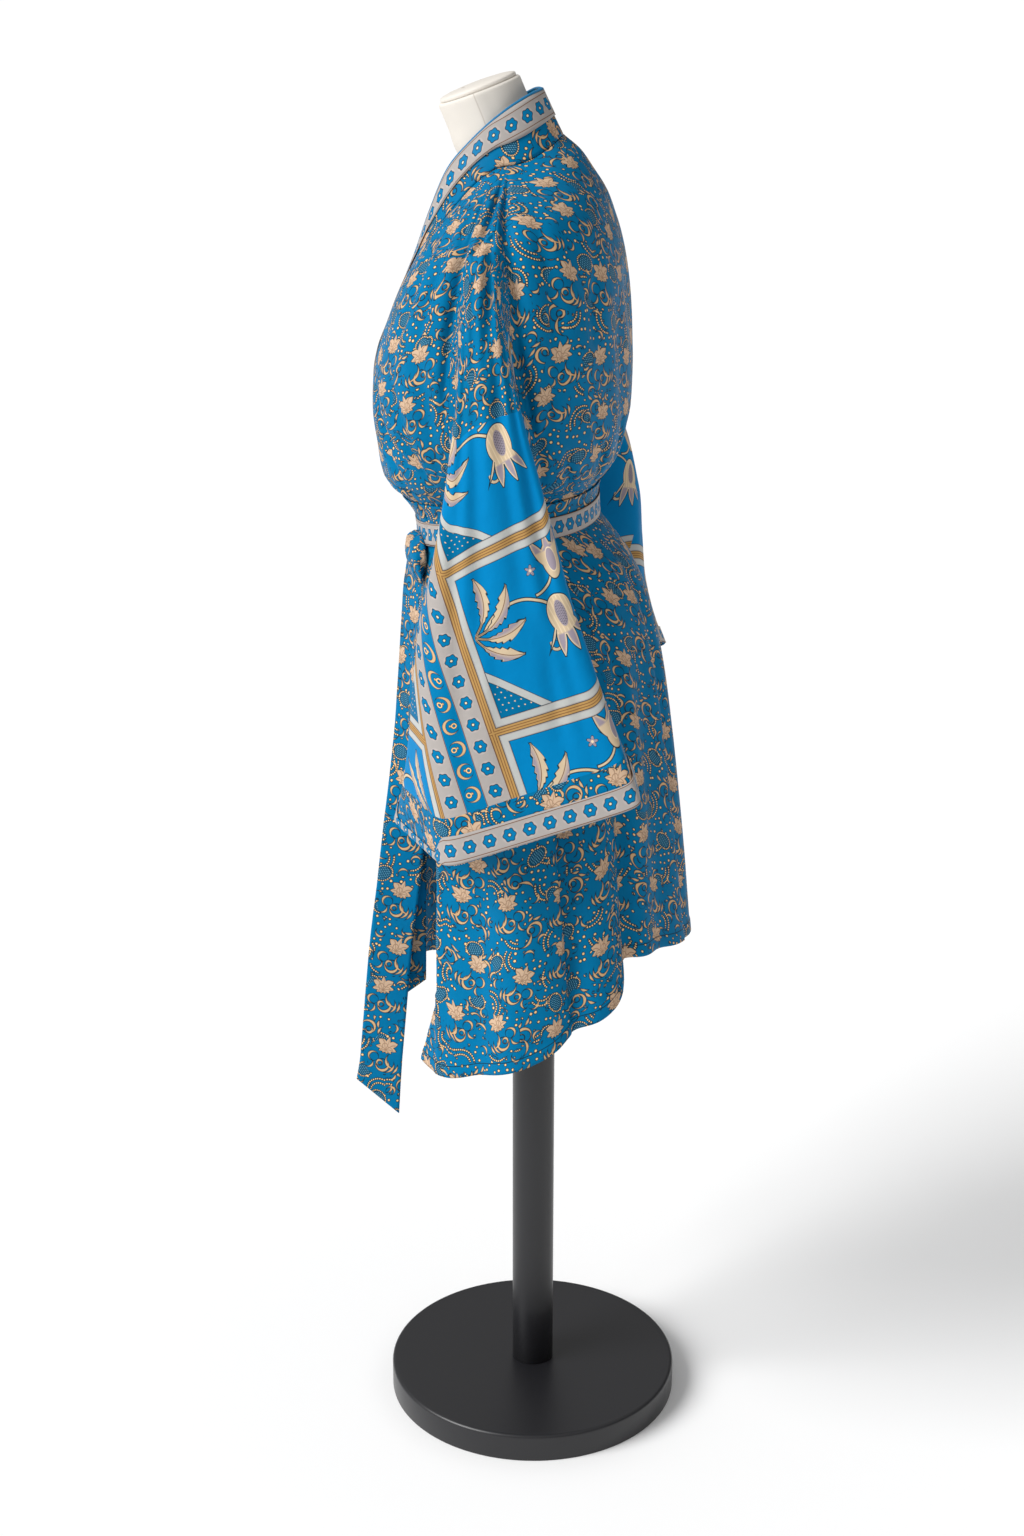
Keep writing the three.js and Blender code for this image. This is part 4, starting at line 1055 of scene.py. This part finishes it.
CURL_GROUP = f"""
big = min({stroke(0, 0, 8.2, 110, 14, 1.7)}, {stroke(3.6, 0, 4, 10, 6.5, 1.4)})
hook = {stroke(14, -9, 12, 200, 9.5, 1.5)}
tail = min({stroke(-4, 22, 12, 235, 4.5, 1.7)}, {stroke(4, 24, 12, 248, 4.5, 1.7)})
drop = min({stroke(16, 20, 12, 225, 4.5, 1.6)}, {stroke(-13, -11, 5.5, 60, 7, 1.4)})
curl_near = 15 - dist(p, 1, 0)
"""
OVAL_GROUP = """
px = x(p)
py = y(p)
round = hypot(px, py * 1.35)
oval = round - 9.6
net = hypot(ping(px, 1.2), ping(py + px * 0.5, 1.2)) - 0.7
beads = hypot(ping(11.6 * atan2(py * 1.35, px), 1.4), round - 11.6) - 0.8
oval_near = round - 14
"""
ROW_GROUP = """
q = dist(p, 0, 13)
a = atan2(x(p), y(p) - 13)
row = max(hypot(ping(17 * a, 1.45), q - 17) - 0.85, y(p) - 7)
row_two = max(hypot(ping(11.5 * a, 1.45), q - 11.5) - 0.85, y(p) - 8)
"""
COMMA_GROUP = f"""
comma = {stroke(0, 0, 6, 60, 6, 1.4)}
"""
DOT = """
dot = dist(p, 0, 0) - 0.9 - 0.6 * one + 3 * more(0.12, one)
"""
# Each kind of motif: its text, the pitch of its centres, how loose they are, its shift and its spin.
MOTIFS = (
    (LEAF_GROUP, 66, 0.5, 0, 1.3), (CURL_GROUP, 60, 0.6, 210, 3.2), (OVAL_GROUP, 50, 0.6, 305, 2.0),
    (ROW_GROUP, 44, 0.6, 140, 6.2), (COMMA_GROUP, 31, 0.7, 77, 6.2), (DOT, 9, 0.8, 31, 0.1),
)
# What is left of each kind once it keeps clear of the ones before it, and the shares that paint them.
SMALL_MASKS = """
near_two = max(leaf_near, curl_near)
near_three = max(near_two, oval_near * -1)
curls = max(min(big, hook, tail, drop), leaf_near)
lines = min(scroll, curl, marks, more_marks, curls, max(comma, near_three))
row_dots = max(min(row, row_two), near_three)
beads = max(beads, near_two)
spots = min(beads, row_dots, max(dot, near_three - 4, 2.6 - lines, 2.4 - row_dots, 2 - leaf))
body = fill(max(oval, near_two), 0.6) * 0.75
inside = fill(max(oval + 0.8, net, near_two), 0.6)
edging = fill(min(lines, spots) - 0.95, 0.6)
line_fill = fill(lines, 0.6)
spot_fill = fill(spots, 0.6)
leaf_edge = fill(leaf - 1.1, 0.6)
leaf_rim = fill(leaf, 0.6)
leaf_in = fill(leaf + 0.9, 0.6)
leaf_lines = leaf_in * fill(veins, 0.5) * 0.6
"""
SMALL_LAYERS = (
    ("body", "navy"), ("inside", "sky"), ("edging", "navy"), ("line_fill", "tan"), ("spot_fill", "peach"),
    ("leaf_edge", "navy"), ("leaf_rim", "tan"), ("leaf_in", "rose"), ("leaf_lines", "brown"),
)


def small_print(tree, p, colours):
    """Colour of the small print: leaves with scrolls, curls with drops, dotted ovals, rows of dots, commas
    and single dots on blue, each edged in navy. Each kind keeps clear of the ones named before it. A stitched
    line holds the turned-up hem."""
    wide = add_node(tree, "ShaderNodeTexNoise", {"Vector": p, "Scale": 0.02, "Detail": 1.0}).outputs[0]
    colour = paint(tree, colours["blue_deep"], wide, colours["blue"])
    motifs = {}
    for text, pitch, loose, shift, spin in MOTIFS:
        own, one = scatter(tree, p, pitch, loose, shift, spin)
        motifs.update(formula(tree, text, p=own, one=one))
    colour = paint_layers(tree, colour, formula(tree, SMALL_MASKS, **motifs), SMALL_LAYERS, colours)
    edge = add_node(tree, "ShaderNodeAttribute", attribute_name="edge").outputs["Fac"]
    stitch = formula(tree, f"line = fill(abs(edge * 1000 - {HEM_DEEP}) - 0.5, 0.8)", edge=edge)["line"]
    return paint(tree, colour, stitch, colours["navy"])


ROSETTE = """
r = hypot(px, py)
petals = r - 6.2 - 0.65 * cos(6 * atan2(py, px))
ring = r - 2.2
eye = r - 1.3
halo = r - 8.6
"""
ROSETTE_LAYERS = (("m0", "pale"), ("m1", "navy"), ("m2", "blue"), ("m3", "navy"), ("m4", "cream"))
# The framed print, from the gold spine (s = 0, positive to the back) and up from a cross band (k = 0). Strips
# of rosettes run along s = -17.5 and s = -66.5, with a strip of scrolls between them at s = -42.
FRAMES = """
s = (u + 210) % 400 - 210
f = max(s, s * -1 - 80)
w = v + (0.07 - 0.0003 * v) * s
k = (w - 122) % 185
across = abs(ping(w - 122, 92.5))
cross = across + 100 * less(f, -4)
band = min(abs(f), cross)
gold = band - 4
pale = band - 12.6
gap = abs(band - 8.8) - 3.1
bar = max(abs(k - 72 + 0.93 * f) * 0.73 - 3.8, 12 - f, f - 70)
corner = max(12 - f, k - 72 + 0.93 * f, 12 - k)
strip = min(abs(s + 17.5), abs(s + 66.5)) - 12.5
"""
# What fills a panel: the spray with its shade, the bell flower, a hook, the bud, the small flower and stems.
FIELD = """
dx = f - 15
dy = k - 104
r = hypot(dx, dy)
b = atan2(dy, dx) - 0.3 - 0.011 * (r - 30)
long = 60 + 5 * sin(2.6 * b + 1)
part = max(r - 12, 0) / (long - 12)
grow = sin(3.14159 * part * (0.6 + 0.4 * part))
side = r * ping(b, 0.31)
wide = 8.2 * grow * (0.7 + 0.07 * ping(r + side * 1.2, 4.5))
spray = max(side - max(wide, 0.8), r - long, max(b - 0.93, b * -1 - 1.55) * 30)
half = side - 0.4
shade = sin(5.07 * b)
tx = f - 111
ty = k - 86
tb = atan2(tx, 20 - ty)
tr = hypot(tx, ty - 20)
petal = tr * ping(tb - 0.0022 * tr, 0.17) - 4.6 * sin(3.14159 * min(max(tr - 14, 0) / 40, 1)) - 0.2
bell = min(hypot(tx * 1.25, ty * 0.9 - 8) - 19, max(petal, (abs(tb) - 0.52) * 40, tr - 54))
bell_in = hypot(tx * 2.3, ty - 10) - 14
bell_net = hypot(ping(tx, 0.9), ping(ty + tx * 0.5, 0.9)) - 0.5
bell_fold = abs(ping(tx * 1.0 + ty * 0.12, 4.2) - 2.1) - 1.7
hook = max(abs(hypot(tx + 17, ty + 18) - 5.5) - 1.3, tx * -1 - 17 + 6 * sign(ty + 14))
bx = f - 124
by = k - 148
bb = atan2(bx, by + 18)
br = hypot(bx, by + 18)
bud_leaf = br * ping(bb, 0.21) - 5.2 * sin(3.14159 * min(max(br - 8, 0) / 42, 1)) - 0.2
bud = min(hypot(bx * 1.2, by * 0.8) - 15, max(bud_leaf, (abs(bb) - 0.63) * 40, br - 50))
bud_in = hypot(bx * 2, by - 1) - 12
fx = f - 95
fy = k - 148
flower = hypot(fx, fy) - 4.2 - 1.6 * cos(5 * atan2(fy, fx))
long_stem = max(abs(hypot(f - 66, k - 74) - 50) - 1.3, 104 - k, f - 113)
stem = min(long_stem, max(abs(hypot(f - 92, k - 150) - 28) - 1.1, k - 148, 92 - f))
specks = hypot(ping(f + k * 0.3, 3.4), ping(k * 1.1, 3.6)) - 0.75
"""


def frames_print(tree, p, colours, small):
    """Colour of the sleeves' print: panels framed in gold and grey, each with a spray, a bell, a bud and a
    small flower in it, strips of rosettes and scrolls beside them, and the small print above and below."""
    values = formula(tree, "u = x(p)\nv = y(p)\n" + FRAMES + FIELD, p=p)

    def shade(text):
        return formula(tree, "m = " + text, **values)["m"]

    colour = paint(tree, colours["panel"], shade("fill(corner, 0.6)"), colours["blue_deep"])
    colour = paint(tree, colour, shade("fill(max(corner + 3, specks), 0.5)"), colours["peach"])
    layers = [
        ("fill(stem - 1.1, 0.5)", "navy"), ("fill(stem, 0.5)", "sand"),
        ("fill(flower - 0.8, 0.5)", "navy"), ("fill(flower, 0.5)", "lilac"),
        ("fill(hypot(fx, fy) - 1.5, 0.5)", "cream"),
        ("fill(spray - 1.1, 0.5)", "navy"), ("fill(spray, 0.5)", "sand"),
        ("fill(spray + 0.5, 0.5) * fill(shade * 3 + 0.6, 2)", "lilac"),
        ("fill(max(spray, half), 0.5)", "brown"),
        ("fill(hook - 0.8, 0.5)", "navy"), ("fill(hook, 0.5)", "sand"),
        ("fill(bell - 1.1, 0.5)", "navy"), ("fill(bell, 0.5)", "cream"),
        ("fill(max(bell + 0.8, bell_fold), 1.2)", "sand"),
        ("fill(max(bell + 1.2, ty + 10), 2)", "lilac"),
        ("fill(bell_in - 1.6, 0.5)", "sand"), ("fill(bell_in, 0.5)", "lilac"),
        ("fill(max(bell_in + 1, bell_net), 0.5)", "navy"),
        ("fill(bud - 1.1, 0.5)", "navy"), ("fill(bud, 0.5)", "sand"),
        ("fill(max(bud + 1.5, 12 - by), 2)", "lilac"),
        ("fill(bud_in - 1.4, 0.5)", "cream"), ("fill(bud_in, 0.5)", "lilac"),
        ("fill(bar - 0.7, 0.5)", "navy"), ("fill(bar, 0.5)", "frame"),
        ("fill(pale - 0.7, 0.5)", "navy"), ("fill(pale, 0.5)", "grey"), ("fill(gap, 0.5)", "frame"),
        ("fill(gold - 0.7, 0.5)", "navy"), ("fill(gold, 0.5)", "gold"),
        ("fill(gold, 0.5) * fill(ping(band - 1.4, 1.4) - 0.35, 0.5)", "brown"),
        ("fill(abs(s + 42) - 12.6, 0.5)", "blue"),
        ("fill(strip - 0.8, 0.5)", "brown"), ("fill(strip, 0.5)", "grey"),
    ]
    for text, over in layers:
        colour = paint(tree, colour, shade(text), colours[over])
    rosettes = formula(tree, """
px = (s + 17.5) * less(abs(s + 17.5), 13) + (s + 66.5) * less(abs(s + 66.5), 13)
py = w % 25 - 12.5
""" + ROSETTE + """
m0 = fill(max(halo, strip + 0.5), 0.5)
m1 = fill(max(petals - 0.9, strip), 0.5)
m2 = fill(max(petals, strip), 0.5)
m3 = fill(max(ring, strip), 0.5)
m4 = fill(max(eye, strip), 0.5)
""", **values)
    colour = paint_layers(tree, colour, rosettes, ROSETTE_LAYERS, colours)
    scroll = formula(tree, """
cy = w % 26 - 13
sx = (s + 42) * sign(w % 52 - 26)
c = max(hypot(sx, cy) - 8.6, 7.6 - hypot(sx - 2.2, cy))
o = abs(hypot(sx - 4, cy) - 2.4) - 0.6
d = hypot(sx, cy - 1) - 1.1
inside = abs(s + 42) - 10.8
edging = fill(max(min(c, o, d) - 0.6, inside), 0.5)
m1 = fill(max(min(c, d), inside), 0.5)
m2 = fill(max(o, inside), 0.5)
""", **values)
    layers = (("edging", "navy"), ("m1", "tan"), ("m2", "peach"))
    colour = paint_layers(tree, colour, scroll, layers, colours)
    return paint(tree, colour, shade("max(more(w + 0.28 * s, 460), less(v, 50))"), small)


def border_print(tree, p, pitch, colours):
    """Colour of the grey border: a row of blue rosettes with pale eyes, and a brown line near both edges."""
    masks = formula(tree, f"px = x(p) % {pitch} - {pitch / 2}\npy = y(p)\n" + ROSETTE + """
m0 = fill(halo, 0.5)
m1 = fill(petals - 0.9, 0.5)
m2 = fill(petals, 0.5)
m3 = fill(ring, 0.5)
m4 = fill(eye, 0.5)
line = fill(abs(abs(py) - 11.4) - 0.4, 0.4)
""", p=p)
    layers = ROSETTE_LAYERS + (("line", "brown"),)
    return paint_layers(tree, colours["grey"], masks, layers, colours)


def finish(name, colour_of, roughness, bump=0.0, specular=0.5):
    """A material whose colour is laid by colour_of(tree), with soft wrinkles about 40 mm across, raised by
    some mm. It is made once and shared by every piece of that finish."""
    if name in bpy.data.materials:
        return bpy.data.materials[name]
    material = bpy.data.materials.new(name)
    material.use_nodes = True
    tree = material.node_tree
    tree.nodes.clear()
    settings = {"Base Color": colour_of(tree), "Roughness": roughness, "Specular IOR Level": specular,
                "IOR": 1.5}
    if bump:
        place = add_node(tree, "ShaderNodeTexCoord").outputs["Object"]
        noise = add_node(tree, "ShaderNodeTexNoise", {"Vector": place, "Scale": 26.0, "Detail": 3.0,
                                                      "Roughness": 0.5}).outputs[0]
        settings["Normal"] = add_node(tree, "ShaderNodeBump", {"Height": noise, "Strength": 1.0,
                                                               "Distance": bump * MM}).outputs[0]
    shader = add_node(tree, "ShaderNodeBsdfPrincipled", settings)
    add_node(tree, "ShaderNodeOutputMaterial", {"Surface": shader.outputs[0]})
    return material


def cloth_colours():
    """Print colours as they stand in the sidebar, by name, as plain tuples."""
    group = bpy.context.scene.kimono_colours
    return {name: tuple(getattr(group, name)) for name in PRINT_COLOURS}


def satin_small():
    """Printed satin of the body, belt and neckband: deep blue with fine tan motifs and a soft low sheen."""
    def colour_of(tree):
        return small_print(tree, print_point(tree), cloth_colours())
    return finish("printed satin, small motifs", colour_of, 0.5, 2.2, 0.04)


def satin_framed():
    """Printed satin of the sleeves: gold and grey frames round large sprays, brighter blue inside them."""
    def colour_of(tree):
        p, tints = print_point(tree), cloth_colours()
        return frames_print(tree, p, tints, small_print(tree, p, tints))
    return finish("printed satin, framed panels", colour_of, 0.5, 2.2, 0.04)


def jersey_cover(tint, dark):
    """Off-white jersey with no shine; a faint line marks its side seams, the only detail on the bare neck."""
    def colour_of(tree):
        edge = add_node(tree, "ShaderNodeAttribute", attribute_name="edge").outputs["Fac"]
        seam = formula(tree, "seam = fill(edge * 1000 - 0.6, 1) * 0.3", edge=edge)["seam"]
        return paint(tree, tuple(tint), seam, tuple(dark))
    return finish("off-white jersey cover", colour_of, 0.85, specular=0.2)


def cap_plastic(tint, dark):
    """Off-white moulded plastic, smoother than the cover, with two small dark spots of painted shade where
    its screw holes would be, which break up its plain top."""
    def colour_of(tree):
        place = add_node(tree, "ShaderNodeTexCoord").outputs["Object"]
        # Painted shade: two dark spots stand for the shade inside the screw holes, which are not cut into the
        # cap.
        hole = formula(tree, """
one = hypot(x(p) * 1000 + 14, y(p) * 1000 + 60)
two = hypot(x(p) * 1000 - 12, y(p) * 1000 + 76)
hole = fill(min(one, two) - 1.9, 0.6)
""", p=place)["hole"]
        return paint(tree, tuple(tint), hole, tuple(dark))
    return finish("off-white cap", colour_of, 0.5)


def satin_border(pitch):
    """Grey border satin with a row of blue rosettes, which frames the cuffs, the belt and the neckband with a
    paler line. It has less wrinkle and a little more sheen than the panels."""
    def colour_of(tree):
        return border_print(tree, print_point(tree), float(pitch), cloth_colours())
    return finish(f"grey border satin, a rosette every {pitch} mm", colour_of, 0.5, 1.0, 0.08)


def plain(name, tint, roughness, **settings):
    """A finish of one colour."""
    return finish(name, lambda tree: tuple(tint), roughness, **settings)


# ---------------------------------------------------------------- stage
CAMERA_AT = (2.73297, 0.26129, 1.8505)
CAMERA_ACROSS, CAMERA_DOWN = 6.0, 20.6
# Each lamp's name, power, spread, the angle it stands at across from +X, and its height above the floor, all
# angles in degrees.
LAMPS = (("top_lamp", 1.2, 140, -60, 75), ("key_lamp", 3.1, 34, -58, 38))


def aim(piece, across, down):
    """Turns a lamp or camera that stands at an angle across from +X so that it looks in and down."""
    piece.rotation_euler = (math.radians(90 - down), 0, math.radians(90 + across))
    bpy.context.collection.objects.link(piece)


def make_stage():
    """Wide pale floor, soft daylight, a big lamp at the front left, one overhead, and the camera."""
    scene = bpy.context.scene
    scene.view_settings.view_transform = "Standard"
    scene.view_settings.look = "None"
    side = np.linspace(-45000, 45000, 10)
    x, y = np.meshgrid(side, side, indexing="xy")
    grid = np.stack([x, y, np.zeros_like(x)], -1)
    # Matt and almost white, so that the floor shows no more than a soft shadow round the base.
    matt = plain("matt studio floor", linear("#f9f9f9"), 0.9, specular=0.1)
    floor = surface("studio_floor", grid, grid[..., :2] * MM, matt, (0, 0, -1000), wall=None)
    world = bpy.data.worlds.new("soft daylight")
    world.use_nodes = True
    world.node_tree.nodes["Background"].inputs[0].default_value = (1, 1, 1, 1)
    world.node_tree.nodes["Background"].inputs[1].default_value = 0.12
    scene.world = world
    for name, power, spread, across, height in LAMPS:
        light = bpy.data.lights.new(name, "SUN")
        light.energy, light.angle = power, math.radians(spread)
        aim(bpy.data.objects.new(name, light), across, height)
    lens = bpy.data.cameras.new("side_view")
    lens.lens, lens.sensor_fit, lens.sensor_height = 60, "VERTICAL", 36
    camera = bpy.data.objects.new("side_view", lens)
    camera.location = CAMERA_AT
    aim(camera, CAMERA_ACROSS, CAMERA_DOWN)
    scene.camera = camera


# ---------------------------------------------------------------- add-on
def colour(name, code, note):
    """A colour property with an sRGB hex default."""
    return bpy.props.FloatVectorProperty(name=name, description=note, subtype="COLOR", size=4, min=0, max=1,
                                         default=linear(code))


class KimonoColours(bpy.types.PropertyGroup):
    """Colours of the print, the dress form and the stand."""

    blue: colour("Blue", "#0074a6", "Ground of the small print, and the rosettes")
    panel: colour("Panel blue", "#007cb6", "Ground of the sleeves' framed panels")
    blue_deep: colour("Deep blue", "#006895", "Darker places of the ground, and the panels' corners")
    sky: colour("Sky blue", "#5b9ab8", "Dots of the dotted ovals")
    tan: colour("Tan", "#cfa97e", "Curls, strokes and commas")
    rose: colour("Rose tan", "#c8ab90", "Inside of the small leaves")
    sand: colour("Sand", "#cdb899", "Leaves of the large sprays")
    peach: colour("Peach", "#f6c98e", "Small dots")
    cream: colour("Cream", "#e6d2b2", "Rims and eyes")
    grey: colour("Border grey", "#a6a09c", "Ground of the borders")
    pale: colour("Pale grey", "#b2aaa6", "Rings round the rosettes")
    frame: colour("Frame grey", "#b6b8b5", "Pale lines of the frames")
    gold: colour("Gold", "#b48d55", "Middle of the frames")
    brown: colour("Brown", "#6f4a30", "Pinstripes and edge lines")
    lilac: colour("Lilac grey", "#9a8f9a", "Shade on petals and leaves")
    navy: colour("Navy", "#12303f", "Outlines of the motifs")
    form: colour("Off-white", "#ddd7ce", "Jersey cover and cap of the dress form")
    paint: colour("Black", "#1d1d20", "Satin paint of the pole and base")


PRINT_COLOURS = ("blue", "panel", "blue_deep", "sky", "tan", "rose", "sand", "peach", "cream", "grey", "pale",
                 "frame", "gold", "brown", "lilac", "navy")


class KimonoSizes(bpy.types.PropertyGroup):
    """Sizes that can be changed without the tables."""

    satin: bpy.props.FloatProperty(name="Satin", description="Wall of one layer of satin", default=CLOTH * MM,
                                   min=0.0004, max=0.003, precision=4, unit="LENGTH")
    strip: bpy.props.FloatProperty(name="Border strip", description="Wall of a sewn-on border",
                                   default=TRIM * MM, min=0.0004, max=0.002, precision=4, unit="LENGTH")


class KIMONO_OT_stage(bpy.types.Operator):
    """Set up the floor, the lamps and the camera"""

    bl_idname = "kimono.stage"
    bl_label = "Stage"

    def execute(self, context):
        make_stage()
        return {"FINISHED"}


class KIMONO_OT_stand(bpy.types.Operator):
    """Build the pole and its round base"""

    bl_idname = "kimono.stand"
    bl_label = "Stand"

    def execute(self, context):
        # Sprayed steel: a soft highlight along the pole and on the base's rim.
        make_stand(plain("black satin paint", context.scene.kimono_colours.paint, 0.35))
        return {"FINISHED"}


class KIMONO_OT_form(bpy.types.Operator):
    """Build the dress form and its neck cap"""

    bl_idname = "kimono.form"
    bl_label = "Dress form"

    def execute(self, context):
        tint, dark = context.scene.kimono_colours.form, context.scene.kimono_colours.brown
        make_form(jersey_cover(tint, dark), cap_plastic(tint, dark))
        return {"FINISHED"}


class KIMONO_OT_body(bpy.types.Operator):
    """Build the back and the two fronts"""

    bl_idname = "kimono.body"
    bl_label = "Back and fronts"

    def execute(self, context):
        make_back(satin_small())
        for side in ("left", "right"):
            make_front(side, satin_small())
        return {"FINISHED"}


class KIMONO_OT_sleeves(bpy.types.Operator):
    """Build the two sleeves and the borders round their cuffs"""

    bl_idname = "kimono.sleeves"
    bl_label = "Sleeves"

    def execute(self, context):
        for side in ("left", "right"):
            make_sleeve(side, satin_framed(), satin_border(22))
        return {"FINISHED"}


class KIMONO_OT_neckband(bpy.types.Operator):
    """Build the neckband with its border and piping"""

    bl_idname = "kimono.neckband"
    bl_label = "Neckband"

    def execute(self, context):
        # Satin cord in the print's blue: a thin plain line along the neckband's edge.
        piping = plain("blue piping", context.scene.kimono_colours.blue, 0.5)
        make_neckband(satin_small(), satin_border(21), piping)
        return {"FINISHED"}


class KIMONO_OT_belt(bpy.types.Operator):
    """Build the belt, its border, its knot and its two hanging ends"""

    bl_idname = "kimono.belt"
    bl_label = "Belt"

    def execute(self, context):
        make_belt(satin_small(), satin_border(17))
        return {"FINISHED"}


OPERATORS = (KIMONO_OT_stage, KIMONO_OT_stand, KIMONO_OT_form, KIMONO_OT_body, KIMONO_OT_sleeves,
             KIMONO_OT_neckband, KIMONO_OT_belt)


class KIMONO_PT_pieces(bpy.types.Panel):
    """Sidebar panel with the colours, the sizes and a button for each group of pieces"""

    bl_label = "Kimono"
    bl_space_type = "VIEW_3D"
    bl_region_type = "UI"
    bl_category = "Kimono"

    def draw(self, context):
        for group in (context.scene.kimono_sizes, context.scene.kimono_colours):
            for name in group.bl_rna.properties.keys():
                if name not in ("rna_type", "name"):
                    self.layout.prop(group, name)
        for kind in OPERATORS:
            self.layout.operator(kind.bl_idname)


CLASSES = (KimonoColours, KimonoSizes, *OPERATORS, KIMONO_PT_pieces)


def register():
    """Adds the classes and gives each scene its colours and sizes."""
    for kind in CLASSES:
        bpy.utils.register_class(kind)
    bpy.types.Scene.kimono_colours = bpy.props.PointerProperty(type=KimonoColours)
    bpy.types.Scene.kimono_sizes = bpy.props.PointerProperty(type=KimonoSizes)


def unregister():
    """Takes the colours, the sizes and the classes away again."""
    del bpy.types.Scene.kimono_sizes
    del bpy.types.Scene.kimono_colours
    for kind in reversed(CLASSES):
        bpy.utils.unregister_class(kind)


def main():
    """Registers the add-on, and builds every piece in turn."""
    register()
    for kind in OPERATORS:
        group, name = kind.bl_idname.split(".")
        if getattr(getattr(bpy.ops, group), name)() != {"FINISHED"}:
            raise RuntimeError(kind.bl_idname)


if __name__ == "__main__":
    main()
